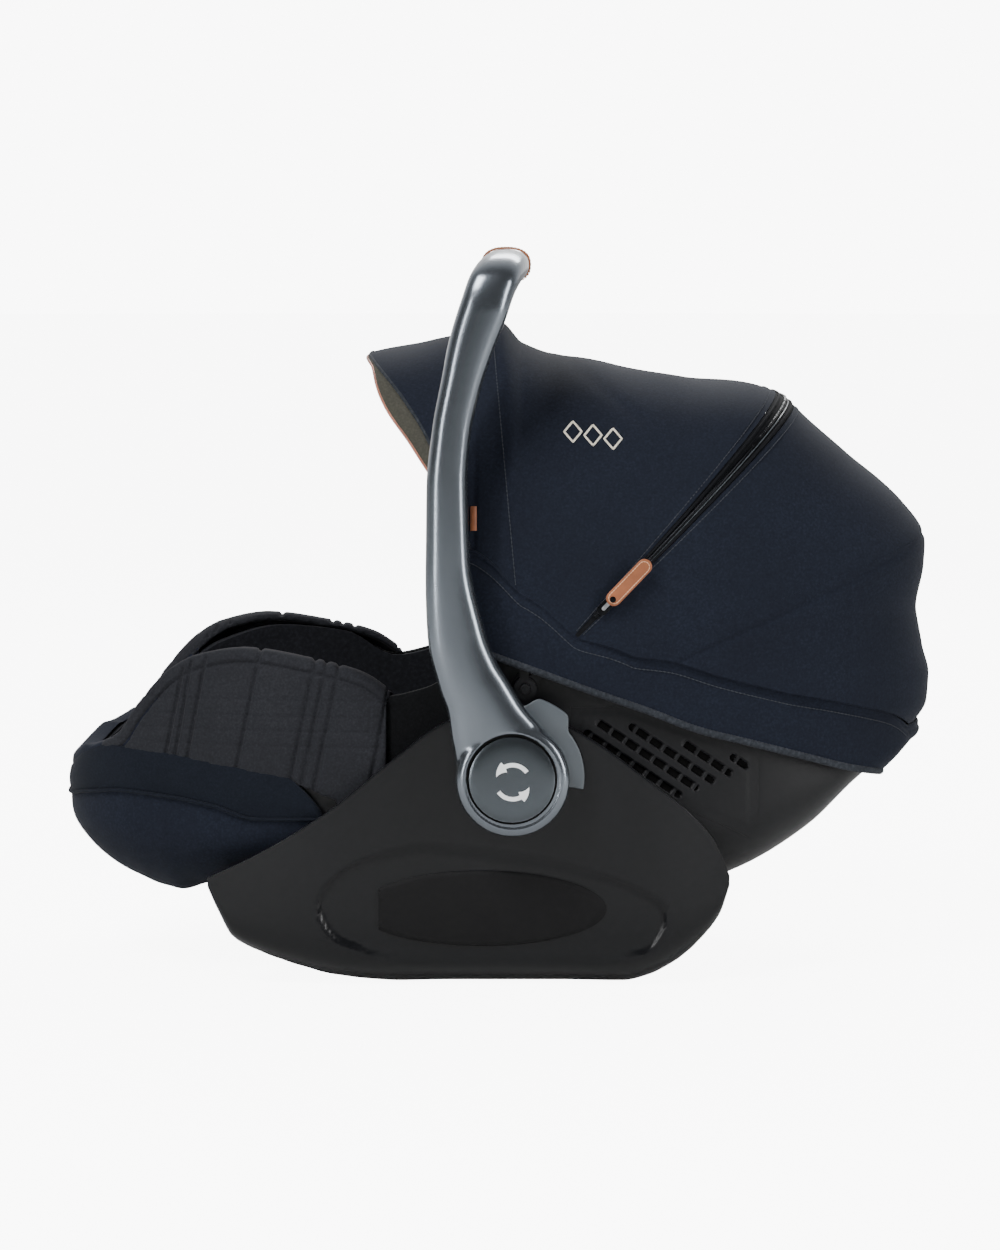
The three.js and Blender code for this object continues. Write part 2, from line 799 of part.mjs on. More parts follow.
function crossbar() {
  const rings = [
    handleRing(CORNER_END, -1, 0, GAP),
    handleRing(CORNER_END + 1, -1),
    handleRing(CORNER_END + 2, -1),
  ];
  const mirrored = [handleRing(CORNER_END + 1, -1), handleRing(CORNER_END, -1, 0, GAP)].map((ring) =>
    ring.map(([x, y, z]) => [x, -y, z]),
  );
  return loft(rings.concat(mirrored));
}

// A closed sleeve round the straight part of the crossbar.
function gripCover() {
  const layer = (y, grow) => handleRing(CORNER_END + 1, -1, grow).map((p) => [p[0], y, p[2]]);
  const rings = [
    layer(-GRIP.half, GRIP.outer),
    layer(GRIP.half, GRIP.outer),
    layer(GRIP.half, GRIP.inner),
    layer(-GRIP.half, GRIP.inner),
  ];
  const sides = rings[0].length;
  const faces = [];
  for (let ring = 0; ring < rings.length; ring++) {
    const next = ((ring + 1) % rings.length) * sides;
    for (let i = 0; i < sides; i++) {
      const j = (i + 1) % sides;
      const [a, b, c, d] = [ring * sides + i, ring * sides + j, next + j, next + i];
      faces.push([a, b, c], [a, c, d]);
    }
  }
  return geometryFrom(rings.flat(), faces);
}

function hubCap(side) {
  const surface = (out) => (angle, share) => {
    const lean = 1 + 0.05 * Math.cos(angle - 115 * DEG);
    const dome = out * Math.sqrt(1 - (0.96 * share) ** 2);
    return [
      HUB.x + 33.5 * lean * share * Math.cos(angle),
      side * (HANDLE.outside + GAP + dome),
      HUB.z + 33.5 * lean * share * Math.sin(angle),
    ];
  };
  return dish(26, 3, surface(2.6), surface(0));
}

function releaseButton(side) {
  const shape = new THREE.Shape();
  const { smoothstep } = THREE.MathUtils;
  const outer = (a) => 57 + 9 * smoothstep(a, 38, 50) * (1 - smoothstep(a, 70, 82));
  const steps = 24;
  for (let i = 0; i <= steps; i++) {
    const a = lerp(-10, 85, i / steps);
    const [x, y] = [HUB.x + outer(a) * Math.cos(a * DEG), HUB.z + outer(a) * Math.sin(a * DEG)];
    if (i === 0) shape.moveTo(x, y);
    else shape.lineTo(x, y);
  }
  shape.absarc(HUB.x, HUB.z, 24, 85 * DEG, -10 * DEG, true);
  shape.closePath();
  return plate(shape, 189, 192.4, side);
}

// ---------- what lies inside the tub ----------
const INSERT = { lift: 4.5, centre: -12, halfLength: 132, halfWidth: 104, thickness: 15, crown: 6 };

function insertHeight(x, y) {
  const share = Math.hypot((x - INSERT.centre) / INSERT.halfLength, y / INSERT.halfWidth);
  const under = tubHeight(x, y, LINER.inner) + INSERT.lift;
  return share >= 1 ? under : under + INSERT.thickness + INSERT.crown * (1 - share ** 2);
}

function bodyInsert() {
  const surface = (top) => (angle, share) => {
    const x = INSERT.centre + INSERT.halfLength * share * Math.cos(angle);
    const y = INSERT.halfWidth * share * Math.sin(angle);
    const under = tubHeight(x, y, LINER.inner) + INSERT.lift;
    const thick = share > 0.999 ? 6 : INSERT.thickness + INSERT.crown * (1 - share ** 2);
    return [x, y, under + (top ? thick : 0)];
  };
  return dish(28, 5, surface(true), surface(false));
}

// A ribbon laid on a height function, from one end's middle to the other's.
function ribbon(start, end, width, height, thickness, steps) {
  const across = new THREE.Vector2(end[1] - start[1], start[0] - end[0]).normalize();
  const surface = (lift) => (u, v) => {
    const x = lerp(start[0], end[0], u) + across.x * width * (v - 0.5);
    const y = lerp(start[1], end[1], u) + across.y * width * (v - 0.5);
    return [x, y, height(x, y) + lift];
  };
  return sheet(steps, 2, surface(thickness), surface(0));
}

// Smoothed height of the soft stack, so that webbing bridges its edges.
function restHeight(x, y) {
  let highest = 0;
  for (let i = -2; i <= 2; i++) highest = Math.max(highest, insertHeight(x + 6 * i, y));
  for (let i = -2; i <= 2; i++) highest = Math.max(highest, insertHeight(x, y + 6 * i));
  return highest + 1;
}

const BUCKLE = { x0: -104, x1: -62, half: 24, lift: 15, height: 15 };
const buckleBase = restHeight((BUCKLE.x0 + BUCKLE.x1) / 2, 0) + BUCKLE.lift;

function roundedBlock(x0, x1, halfY, z0, z1, radius) {
  const shape = new THREE.Shape();
  shape.moveTo(x0 + radius, -halfY);
  shape.lineTo(x1 - radius, -halfY);
  shape.absarc(x1 - radius, -halfY + radius, radius, -Math.PI / 2, 0);
  shape.lineTo(x1, halfY - radius);
  shape.absarc(x1 - radius, halfY - radius, radius, 0, Math.PI / 2);
  shape.lineTo(x0 + radius, halfY);
  shape.absarc(x0 + radius, halfY - radius, radius, Math.PI / 2, Math.PI);
  shape.lineTo(x0, -halfY + radius);
  shape.absarc(x0 + radius, -halfY + radius, radius, Math.PI, 1.5 * Math.PI);
  const block = new THREE.ExtrudeGeometry(shape, { depth: z1 - z0, bevelEnabled: false, curveSegments: 3 });
  block.translate(0, 0, z0);
  return block;
}

const BUTTON = { x0: -92, x1: -70, half: 13, depth: 6 };

function buckleBody() {
  const body = roundedBlock(BUCKLE.x0, BUCKLE.x1, BUCKLE.half, buckleBase, buckleBase + BUCKLE.height, 8);
  const top = buckleBase + BUCKLE.height;
  const room = 0.5;
  const floor = top - BUTTON.depth - 4;
  const well = roundedBlock(BUTTON.x0 - room, BUTTON.x1 + room, BUTTON.half + room, floor, top + 1, 4);
  return cut(body, well);
}

function buckleButton() {
  const top = buckleBase + BUCKLE.height;
  return roundedBlock(BUTTON.x0, BUTTON.x1, BUTTON.half, top - BUTTON.depth, top + 1, 4);
}

const ADJUSTER = { x0: -192, x1: -160, half: 20 };
const adjusterBase = tubHeight(-176, 0, LINER.inner) + 4;

function adjusterHousing() {
  const body = roundedBlock(ADJUSTER.x0, ADJUSTER.x1, ADJUSTER.half, adjusterBase, adjusterBase + 11, 6);
  const well = roundedBlock(-185.5, -168.5, 11.5, adjusterBase + 3, adjusterBase + 12, 3);
  return cut(body, well);
}

function adjusterButton() {
  return roundedBlock(-185, -169, 11, adjusterBase + 6, adjusterBase + 12, 3);
}

const HEADREST = { x0: 134, x1: 206, half: 88, wall: 14, height: 66, slope: 0.4, lift: 16 };

function headrestPad() {
  const surface = (depth) => (u, v) => {
    const x = lerp(HEADREST.x0, HEADREST.x1, u);
    const angle = ((2 * v - 1) * Math.PI) / 2;
    const k = roundness(angle, 3);
    const floor = tubHeight(HEADREST.x0, 0, LINER.inner) + HEADREST.lift + HEADREST.slope * (x - HEADREST.x0);
    const top = floor + HEADREST.height - 14 * Math.abs(2 * u - 1) ** 3;
    return [
      x,
      (HEADREST.half - depth) * k * Math.sin(angle),
      floor + depth + (top - floor - depth) * (1 - k * Math.cos(angle)),
    ];
  };
  return sheet(6, 14, surface(0), surface(HEADREST.wall));
}

// ---------- the assembly ----------
const paint = (colour, roughness, metalness = 0) =>
  new THREE.MeshStandardMaterial({ color: colour, roughness, metalness });
const HOUSING = paint(0x141518, 0.45);
const DARK_PAD = paint(0x0b0b0d, 0.9);
const STEEL = paint(0x9a9c9f, 0.35, 1);
const PLASTIC = paint(0x1b1c1f, 0.5);
const NAVY = paint(0x1a1f2b, 0.95);
const QUILT = paint(0x27292d, 0.95);
const LINING = paint(0x6b6b60, 0.95);
const WEBBING = paint(0x1c1d20, 0.8);
const GUNMETAL = paint(0x3a3d41, 0.3, 0.8);
const GREY = paint(0x6d7175, 0.5);
const TAN = paint(0xa0694a, 0.6);
const RED = paint(0xb3202a, 0.4);

const group = new THREE.Group();
function add(name, geometry, material) {
  const mesh = new THREE.Mesh(geometry, material);
  mesh.name = name;
  group.add(mesh);
}

add("base_housing", baseHousing(), HOUSING);
for (const [name, x] of [
  ["lock_bar_front", -62],
  ["lock_bar_rear", 92],
]) {
  const bar = new THREE.CylinderGeometry(5, 5, 200, 16);
  bar.translate(x, 0, WALL + 7.5);
  add(name, bar, STEEL);
}
for (const { s, name } of SIDES) {
  add("side_pad_" + name, sidePad(s), DARK_PAD);
  add("pivot_pin_" + name, pin(HUB.x, HUB.z, PIN_RADIUS, 166.8, 203, s), STEEL);
}

add("seat_shell", seatShell(), PLASTIC);
add("seat_liner", seatLiner(), QUILT);
add("body_insert", bodyInsert(), QUILT);
add("headrest_pad", headrestPad(), QUILT);
add("foot_boot", footBoot(), NAVY);
add("foot_band", footBand(), NAVY);
add("head_skirt", headSkirt(), NAVY);
for (const { s, name } of SIDES) {
  add("vent_grille_" + name, ventGrille(s), PLASTIC);
  add("foot_cover_" + name, footCover(s), QUILT);
  add("canopy_mount_" + name, canopyMount(s), PLASTIC);
}

add("crotch_pad", ribbon([-142, 0], [-52, 0], 52, restHeight, 8, 10), QUILT);
add("crotch_strap", ribbon([-138, 0], [-58, 0], 30, (x, y) => restHeight(x, y) + 9, 2, 10), WEBBING);
add("buckle_body", buckleBody(), PLASTIC);
add("buckle_button", buckleButton(), RED);
for (const { s, name } of SIDES) {
  const tongueBase = buckleBase + 5;
  const tongue = box(BUCKLE.x1 + GAP, -38, s > 0 ? 3 : -21, s > 0 ? 21 : -3, tongueBase, tongueBase + 3);
  add("buckle_tongue_" + name, tongue, STEEL);
  const rise = (x) => 18 * THREE.MathUtils.smoothstep(-x, 0, 37);
  const strapHeight = (x, y) => restHeight(x, y) + rise(x);
  add("shoulder_strap_" + name, ribbon([-36, s * 12], [112, s * 40], 24, strapHeight, 2, 12), WEBBING);
  const padHeight = (x, y) => strapHeight(x, y) + 2.8;
  add("shoulder_pad_" + name, ribbon([4, s * 19.5], [98, s * 37.4], 34, padHeight, 8, 8), QUILT);
  const lapHeight = (x, y) => restHeight(x, y) + 0.4;
  add("lap_strap_" + name, ribbon([-48, s * 34], [-48, s * 112], 24, lapHeight, 2, 8), WEBBING);
}
const strapEnd = (x, y) => tubHeight(x, y, LINER.inner) + INSERT.lift;
add("adjuster_housing", adjusterHousing(), PLASTIC);
add("adjuster_button", adjusterButton(), GREY);
add("adjuster_strap", ribbon([ADJUSTER.x0 - 1, 0], [-262, 0], 26, strapEnd, 2, 8), WEBBING);

add("rear_bow", bow(REAR_ANGLE + 1.5, REAR_BOW.inset, REAR_BOW.drop, REAR_BOW.foot), PLASTIC);
add("back_panel", canopyPanel(-7.6, REAR_ANGLE, 8, 18), NAVY);
add("rear_panel", canopyPanel(REAR_ANGLE + 0.2, ZIP_ANGLE - ZIP_HALF - 0.2, 5, 22), NAVY);
add("zip_bow", movingBow(ZIP_ANGLE, ZIP_BOW.inset, ZIP_BOW.drop), PLASTIC);
add("zip_tape", zipTape(), WEBBING);
const SLIDER = { start: 84, length: 15, width: 9, thickness: 3 };
const PULLER = { start: 94, length: 48, width: 12, thickness: 2.5 };
function zipHardware({ start, length, width, thickness }, lift) {
  const near = CANOPY_HALF_WIDTH + lift;
  return zipBar(start, start + length, width, near, near + thickness);
}
add("zip_slider", zipHardware(SLIDER, GAP), STEEL);
add("zip_puller", zipHardware(PULLER, GAP + SLIDER.thickness + 0.5), TAN);
add("front_bow", movingBow(RIDGE_ANGLE, FRONT_BOW.inset, FRONT_BOW.drop), PLASTIC);
add("front_panel", frontPanel(), NAVY);
add("visor_lining", visorLining(), LINING);

for (const { s, name } of SIDES) {
  add("handle_arm_" + name, handleArm(s), GUNMETAL);
  add("hub_cap_" + name, hubCap(s), GUNMETAL);
  add("release_button_" + name, releaseButton(s), GREY);
}
add("handle_crossbar", crossbar(), GUNMETAL);
add("grip_cover", gripCover(), TAN);

export default group;
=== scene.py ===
"""Infant car seat, lying flat: the visible surfaces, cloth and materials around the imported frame.

Shapes are worked out in millimetres and become metres when a mesh is made. +X is the head end, +Z is up,
and "left" pieces lie at -Y, towards the camera.
"""
import math

import bmesh
import bpy
import numpy as np
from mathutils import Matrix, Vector


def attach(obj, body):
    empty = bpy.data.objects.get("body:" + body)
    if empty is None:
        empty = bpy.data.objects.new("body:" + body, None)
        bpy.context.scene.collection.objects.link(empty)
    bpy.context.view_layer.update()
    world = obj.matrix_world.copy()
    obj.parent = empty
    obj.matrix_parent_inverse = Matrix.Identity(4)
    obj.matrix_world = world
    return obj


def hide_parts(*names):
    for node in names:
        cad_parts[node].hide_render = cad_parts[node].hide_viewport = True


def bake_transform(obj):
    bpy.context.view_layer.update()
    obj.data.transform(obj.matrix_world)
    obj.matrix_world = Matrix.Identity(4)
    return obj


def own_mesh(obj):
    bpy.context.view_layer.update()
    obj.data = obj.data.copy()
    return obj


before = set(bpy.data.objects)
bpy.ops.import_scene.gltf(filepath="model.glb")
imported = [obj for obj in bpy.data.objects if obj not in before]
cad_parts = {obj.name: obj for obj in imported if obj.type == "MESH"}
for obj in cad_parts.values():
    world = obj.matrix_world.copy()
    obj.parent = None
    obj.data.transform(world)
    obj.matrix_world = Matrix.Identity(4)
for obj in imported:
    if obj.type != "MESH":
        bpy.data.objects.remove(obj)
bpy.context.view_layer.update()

MM = 0.001
SIDES = (("left", -1), ("right", 1))

# ---------- sizes shared with the frame ----------
HUB = np.array([10.0, 171.0])
PIVOT = np.array([20.0, 240.0])
TUB_CENTRE, TUB_HALF_LENGTH, TUB_HALF_WIDTH = -6.0, 346.0, 170.0
PLAN_POWER, WALL_POWER = 2.6, 3.0
BASE_POWER, SOLE, BASE_WALL = 8.0, 6.0, 4.0
CANOPY_HALF_WIDTH, FABRIC = 185.0, 2.5
ZIP_ANGLE, REAR_ANGLE = 46.3, 19.0
HANDLE_IN, HANDLE_OUT = 193.0, 218.0


# ---------- curves and surfaces ----------
def curve(points):
    """A smooth curve through points (x, y) that never overshoots them."""
    xs, ys = np.array(points, float).T
    width = np.diff(xs)
    slope = np.diff(ys) / width
    before, after = slope[:-1], slope[1:]
    inner = np.where(before * after > 0, 2 * before * after / (before + after + 1e-30), 0)
    tangent = np.concatenate([slope[:1], inner, slope[-1:]])

    def value(x):
        x = np.clip(np.asarray(x, float), xs[0], xs[-1])
        i = np.clip(np.searchsorted(xs, x, side="right") - 1, 0, len(xs) - 2)
        t = (x - xs[i]) / width[i]
        a, b = ys[i], ys[i + 1]
        ta, tb = tangent[i] * width[i], tangent[i + 1] * width[i]
        return a + t * (ta + t * (3 * (b - a) - 2 * ta - tb + t * (2 * (a - b) + ta + tb)))

    return value


def smoothstep(x, low, high):
    t = np.clip((np.asarray(x, float) - low) / (high - low), 0, 1)
    return t * t * (3 - 2 * t)


def roundness(angle, power):
    """The factor that puts a direction (cos, sin) on a unit superellipse."""
    return (np.abs(np.cos(angle)) ** power + np.abs(np.sin(angle)) ** power) ** (-1 / power)


def stack(x, y, z):
    return np.stack(np.broadcast_arrays(x, y, z), axis=-1).astype(float)


def mirror(points, side):
    """Points made on the left side, put on the given side."""
    return points * np.array([1, -side, 1])


base_rim = curve([(-234, 87), (-197, 105), (-161, 126), (-130, 147), (-81, 187), (-45, 213), (-5, 226),
                  (34, 219), (71, 201), (128, 159), (153, 138), (171, 117), (180, 98), (184, 88)])
base_keel = curve([(-234, 80), (-226, 60), (-215, 38), (-197, 27), (-160, 13), (-130, 5), (-80, 0),
                   (100, 0), (120, 5), (144, 18), (165, 38), (177, 56), (184, 80)])
base_half_width = curve([(-234, 174), (-120, 184), (100, 184), (184, 168)])
tub_keel = curve([(-346, 80), (-300, 84), (-205, 88), (-150, 80), (-100, 67), (0, 50), (100, 50), (150, 56),
                  (197, 67), (254, 95), (290, 130), (325, 160), (340, 178)])
tub_shoulder = curve([(-352, 135), (-250, 125), (-150, 135), (0, 150), (150, 150), (250, 165),
                      (340, 195)])
shell_rim = curve([(-352, 163), (-335, 178), (-310, 191), (-282, 225), (-250, 244), (-200, 256),
                   (-140, 250), (-95, 228), (-60, 235), (-10, 262), (60, 255), (150, 234), (250, 214),
                   (340, 203)])
band_top = curve([(-352, 157), (-335, 176), (-310, 186), (-274, 184), (-207, 174), (-163, 166),
                  (-138, 155)])
band_bottom = curve([(-352, 136), (-330, 144), (-297, 149), (-262, 147), (-224, 141), (-193, 132),
                     (-138, 133)])
cover_top = curve([(-330, 186), (-306, 200), (-290, 224), (-263, 254), (-241, 266), (-206, 272),
                   (-150, 264), (-112, 254), (-84, 236)])
boot_sag = curve([(-352, 14), (-320, 34), (-268, 36), (-240, 24), (-205, 4)])
skirt_low = curve([(-30, 275), (-4, 265), (35, 251), (76, 236), (118, 221), (159, 205), (200, 194),
                   (242, 182), (290, 168), (345, 158)])


def polar_curve(places):
    """The distance from the pivot as a function of the angle about it, through places (x, z)."""
    x, z = (np.array(places, float) - PIVOT).T
    return curve(np.stack([np.degrees(np.arctan2(z, x)), np.hypot(x, z)], axis=1))


RIDGE, HEM_TOP = (0, 527), (-107, 502)
canopy_radius = polar_curve([(344, 193), (357, 215), (358, 236), (352, 260), (347, 288), (353, 330),
                             (352, 354), (335, 378), (285, 422), (255, 448), (236, 465), (154, 481),
                             (95, 491), (45, 500), (19, 509), RIDGE, (-18, 519), (-59, 511), HEM_TOP])
seam_radius = polar_curve([(341, 194), (322, 210), (270, 226), (228, 235), (173, 250), (140, 261),
                           (104, 267), (57, 284), (18, 315), (-23, 350)])
seam_turn = np.radians(np.linspace(114, -8, 300))
seam_reach = seam_radius(np.degrees(seam_turn))
seam_x, seam_z = PIVOT[0] + seam_reach * np.cos(seam_turn), PIVOT[1] + seam_reach * np.sin(seam_turn)


def skirt_high(x):
    """Height of the seam between the canopy and the skirt."""
    return np.interp(x, seam_x, seam_z)


canopy_power = curve([(0, 2.6), (60, 3.2), (114, 3.2)])
hem_x, hem_z = (np.array([(-22, 350), (-56, 435), (-75, 466), HEM_TOP], float) - PIVOT).T
hem_angle = curve(np.stack([np.hypot(hem_x, hem_z), np.degrees(np.arctan2(hem_z, hem_x))], 1))
RIDGE_ANGLE = math.degrees(math.atan2(RIDGE[1] - PIVOT[1], RIDGE[0] - PIVOT[0]))


def base_point(x, v, depth):
    """A place on the housing: v runs from -1 at one rim, under the keel, to 1 at the other."""
    angle = v * math.pi / 2
    k = roundness(angle, BASE_POWER)
    keel = base_keel(x) + depth
    z = keel + np.maximum(0, (base_rim(x) - keel + SOLE) * (1 - k * np.cos(angle)) - SOLE)
    return stack(x, (base_half_width(x) - depth) * k * np.sin(angle), z)


def base_wall_y(x, z):
    """How far the housing's side is from the middle plane."""
    c = np.clip(1 - (z - base_keel(x) + SOLE) / (base_rim(x) - base_keel(x) + SOLE), 0, 1)
    return base_half_width(x) * (1 - c ** BASE_POWER) ** (1 / BASE_POWER)


def tub_wall(turn, depth):
    """The tub's outline from above, a given depth inside it."""
    k = roundness(turn, PLAN_POWER)
    x = TUB_CENTRE + (TUB_HALF_LENGTH - depth) * k * np.cos(turn)
    return x, (TUB_HALF_WIDTH - depth) * k * np.sin(turn)


def tub_point(turn, share, depth):
    """A place on the tub's bowl: share is 0 in the middle and 1 at the wall."""
    wall_x, wall_y = tub_wall(turn, depth)
    x = TUB_CENTRE + (wall_x - TUB_CENTRE) * share
    rise = 1 - (1 - np.clip(share, 0, 1) ** WALL_POWER) ** (1 / WALL_POWER)
    keel = tub_keel(x) + depth
    return stack(x, wall_y * share, keel + (tub_shoulder(wall_x) - keel) * rise)


def tub_share_at(turn, z, depth):
    low = np.full(np.broadcast(turn, z).shape, 0.4)
    high = np.ones_like(low)
    for _ in range(22):
        middle = (low + high) / 2
        below = tub_point(turn, middle, depth)[..., 2] < z
        low, high = np.where(below, middle, low), np.where(below, high, middle)
    return np.where(z >= tub_shoulder(tub_wall(turn, depth)[0]), 1.0, high)


def tub_at(turn, z, depth):
    """The place on the tub's outside at a turn and a height."""
    wall_x, wall_y = tub_wall(turn, depth)
    share = tub_share_at(turn, z, depth)
    return stack(TUB_CENTRE + (wall_x - TUB_CENTRE) * share, wall_y * share, z)


def turn_at(x):
    """The turn at which the tub's outline passes x, on the left side."""
    low, high = -math.pi, 0.0
    for _ in range(40):
        middle = (low + high) / 2
        if tub_wall(middle, 0)[0] < x:
            low = middle
        else:
            high = middle
    return (low + high) / 2


def canopy_point(degrees, arc, inset=0.0, drop=None, seam=None):
    """A place on the canopy: an angle about the pivot, and an arc from -1 on the left to 1 on the right."""
    drop = inset if drop is None else drop
    power = canopy_power(degrees)
    radius = canopy_radius(degrees) - drop
    ratio = np.minimum(0.985, (seam_radius(degrees) if seam is None else seam) / radius)
    end = np.arctan2((1 - ratio ** power) ** (1 / power), ratio)
    angle = arc * end
    k = roundness(angle, power)
    r = radius * k * np.cos(angle)
    turn = np.radians(degrees)
    y = (CANOPY_HALF_WIDTH - inset) * k * np.sin(angle)
    return stack(PIVOT[0] + r * np.cos(turn), y, PIVOT[1] + r * np.sin(turn))


def distance_from_pivot(points):
    return np.hypot(points[..., 0] - PIVOT[0], points[..., 2] - PIVOT[1])


def hem_at(arc):
    """The angle of the front hem, which leans forward as it rises."""
    degrees = np.full(np.shape(arc), 110.0)
    for _ in range(8):
        degrees = hem_angle(distance_from_pivot(canopy_point(degrees, arc)))
    return degrees


# ---------- meshes ----------
def full_turn(count):
    """Evenly spaced angles all the way round."""
    return np.linspace(0, 2 * math.pi, count, endpoint=False)


def add_object(name, data):
    obj = bpy.data.objects.new(name, data)
    bpy.context.scene.collection.objects.link(obj)
    return obj


def add_modifier(obj, name, kind, **settings):
    modifier = obj.modifiers.new(name, kind)
    for key, value in settings.items():
        setattr(modifier, key, value)
    return modifier


def smooth_faces(mesh):
    mesh.polygons.foreach_set("use_smooth", np.ones(len(mesh.polygons), bool))


def quads(nu, nv, start=0, wrap_u=False, wrap_v=False):
    """The faces of a grid of points."""
    rows, columns = np.arange(nu if wrap_u else nu - 1), np.arange(nv if wrap_v else nv - 1)
    i, j = np.meshgrid(rows, columns, indexing="ij")
    i2, j2 = (i + 1) % nu, (j + 1) % nv
    return start + np.stack([i * nv + j, i2 * nv + j, i2 * nv + j2, i * nv + j2], -1).reshape(-1, 4)


def signed_volume(points, faces):
    a, b, c = points[faces[:, 0]], points[faces[:, 1]], points[faces[:, 2]]
    total = (a * np.cross(b, c)).sum()
    if faces.shape[1] == 4:
        d = points[faces[:, 3]]
        total += (a * np.cross(c, d)).sum()
    return total


def make(name, points, faces, *materials, sharp=45, face_material=None):
    """An object from points in millimetres and a list of face arrays, turned to face out."""
    points = np.asarray(points, float).reshape(-1, 3)
    if sum(signed_volume(points, f) for f in faces) < 0:
        faces = [f[:, ::-1] for f in faces]
    mesh = bpy.data.meshes.new(name)
    mesh.from_pydata((points * MM).tolist(), [], [q for f in faces for q in f.tolist()])
    for m in materials:
        mesh.materials.append(m)
    if face_material is not None:
        mesh.polygons.foreach_set("material_index", face_material.astype(np.int32))
    smooth_faces(mesh)
    mesh.update()
    mesh.set_sharp_from_angle(angle=math.radians(sharp))
    return add_object(name, mesh)


def slab(name, outer, inner, *materials, sharp=45):
    """A closed sheet between two grids of points. A second material, if any, goes on the inner face."""
    nu, nv = outer.shape[:2]
    half = nu * nv
    front, back = quads(nu, nv), quads(nu, nv, half)[:, ::-1]
    i, j = np.arange(nu - 1), np.arange(nv - 1)

    def side(a, b):
        return np.stack([a, a + half, b + half, b], -1)

    rims = [side(i * nv, (i + 1) * nv), side((i + 1) * nv + nv - 1, i * nv + nv - 1),
            side(j + 1, j), side((nu - 1) * nv + j, (nu - 1) * nv + j + 1)]
    faces = [front, back] + rims
    index = None
    if len(materials) > 1:
        index = np.concatenate([np.zeros(len(front)), np.ones(len(back)),
                                np.zeros(sum(len(r) for r in rims))])
    points = np.concatenate([outer.reshape(-1, 3), inner.reshape(-1, 3)])
    return make(name, points, faces, *materials, sharp=sharp, face_material=index)


def dish(name, outer, inner, *materials, sharp=45):
    """A closed bowl between two grids of (share, turn) points, whose first row is the middle."""
    n, m = outer.shape[:2]
    half = 1 + (n - 1) * m

    def pack(grid):
        return np.concatenate([grid[0, :1], grid[1:].reshape(-1, 3)])

    j = np.arange(m)
    k = (j + 1) % m
    front = quads(n - 1, m, 1, wrap_v=True)
    faces = [np.stack([np.zeros(m, int), 1 + j, 1 + k], -1), front,
             np.stack([np.full(m, half), half + 1 + k, half + 1 + j], -1), (front + half)[:, ::-1]]
    last = 1 + (n - 2) * m
    faces.append(np.stack([last + j, half + last + j, half + last + k, last + k], -1))
    counts = [0] * (len(faces[0]) + len(faces[1])) + [1] * (len(faces[2]) + len(faces[3])) + [0] * m
    index = np.array(counts) if len(materials) > 1 else None
    points = np.concatenate([pack(outer), pack(inner)])
    return make(name, points, faces, *materials, sharp=sharp, face_material=index)


def loft(name, rings, *materials, sharp=45, closed=False):
    """A closed tube through rings of points, with a fan on each end unless it closes on itself."""
    n, m = rings.shape[:2]
    points = rings.reshape(-1, 3)
    faces = [quads(n, m, wrap_u=closed, wrap_v=True)]
    if not closed:
        points = np.concatenate([points, rings[0].mean(0)[None], rings[-1].mean(0)[None]])
        j = np.arange(m)
        k = (j + 1) % m
        faces.append(np.stack([np.full(m, n * m), k, j], -1))
        faces.append(np.stack([np.full(m, n * m + 1), (n - 1) * m + j, (n - 1) * m + k], -1))
    return make(name, points, faces, *materials, sharp=sharp)


def frames_along(path):
    """Unit tangents and two normals along a path, without twist."""
    tangent = np.gradient(path, axis=0)
    tangent /= np.linalg.norm(tangent, axis=1, keepdims=True)
    start = np.array([0, 1.0, 0]) if abs(tangent[0, 1]) < 0.8 else np.array([0, 0, 1.0])
    normals = []
    normal = start
    for t in tangent:
        normal = normal - t * normal.dot(t)
        normal = normal / np.linalg.norm(normal)
        normals.append(normal)
    normal = np.array(normals)
    return tangent, normal, np.cross(tangent, normal)


def tube(name, path, radius, *materials, sides=10, flat=1.0, ripple=0.0, pitch=2.0):
    """A round or flattened tube along a path, optionally ribbed across."""
    path = np.asarray(path, float)
    _, normal, across = frames_along(path)
    length = np.concatenate([[0], np.cumsum(np.linalg.norm(np.diff(path, axis=0), axis=1))])
    swell = radius * (1 + ripple * np.cos(2 * math.pi * length / pitch))
    angle = full_turn(sides)
    round_it = (flat * np.cos(angle)[None, :, None] * normal[:, None]
                + np.sin(angle)[None, :, None] * across[:, None])
    return loft(name, path[:, None] + swell[:, None, None] * round_it, *materials)


def resample(path, step):
    """The same path with even steps, in millimetres."""
    path = np.asarray(path, float)
    length = np.concatenate([[0], np.cumsum(np.linalg.norm(np.diff(path, axis=0), axis=1))])
    at = np.linspace(0, length[-1], max(2, int(length[-1] / step)))
    return np.stack([np.interp(at, length, path[:, k]) for k in range(3)], -1)


def plate(name, outline, near, far, side, *materials, bevel=0.0):
    """A flat plate from an outline (x, z), between two distances from the middle plane."""
    outline = np.asarray(outline, float)
    n = len(outline)
    points = np.concatenate([stack(outline[:, 0], side * near, outline[:, 1]),
                             stack(outline[:, 0], side * far, outline[:, 1])])
    j = np.arange(n)
    k = (j + 1) % n
    obj = make(name, points, [np.stack([k, j, j + n, k + n], -1)], *materials)
    bm = bmesh.new()
    bm.from_mesh(obj.data)
    bmesh.ops.holes_fill(bm, edges=[e for e in bm.edges if e.is_boundary], sides=0)
    bmesh.ops.recalc_face_normals(bm, faces=bm.faces)
    bm.to_mesh(obj.data)
    bm.free()
    smooth_faces(obj.data)
    obj.data.set_sharp_from_angle(angle=math.radians(35))
    if bevel:
        rounded(obj, bevel)
    return obj


def add_bevel(obj, width, segments, angle=40):
    add_modifier(obj, "edge", "BEVEL", width=width * MM, segments=segments, limit_method="ANGLE",
                 angle_limit=math.radians(angle))


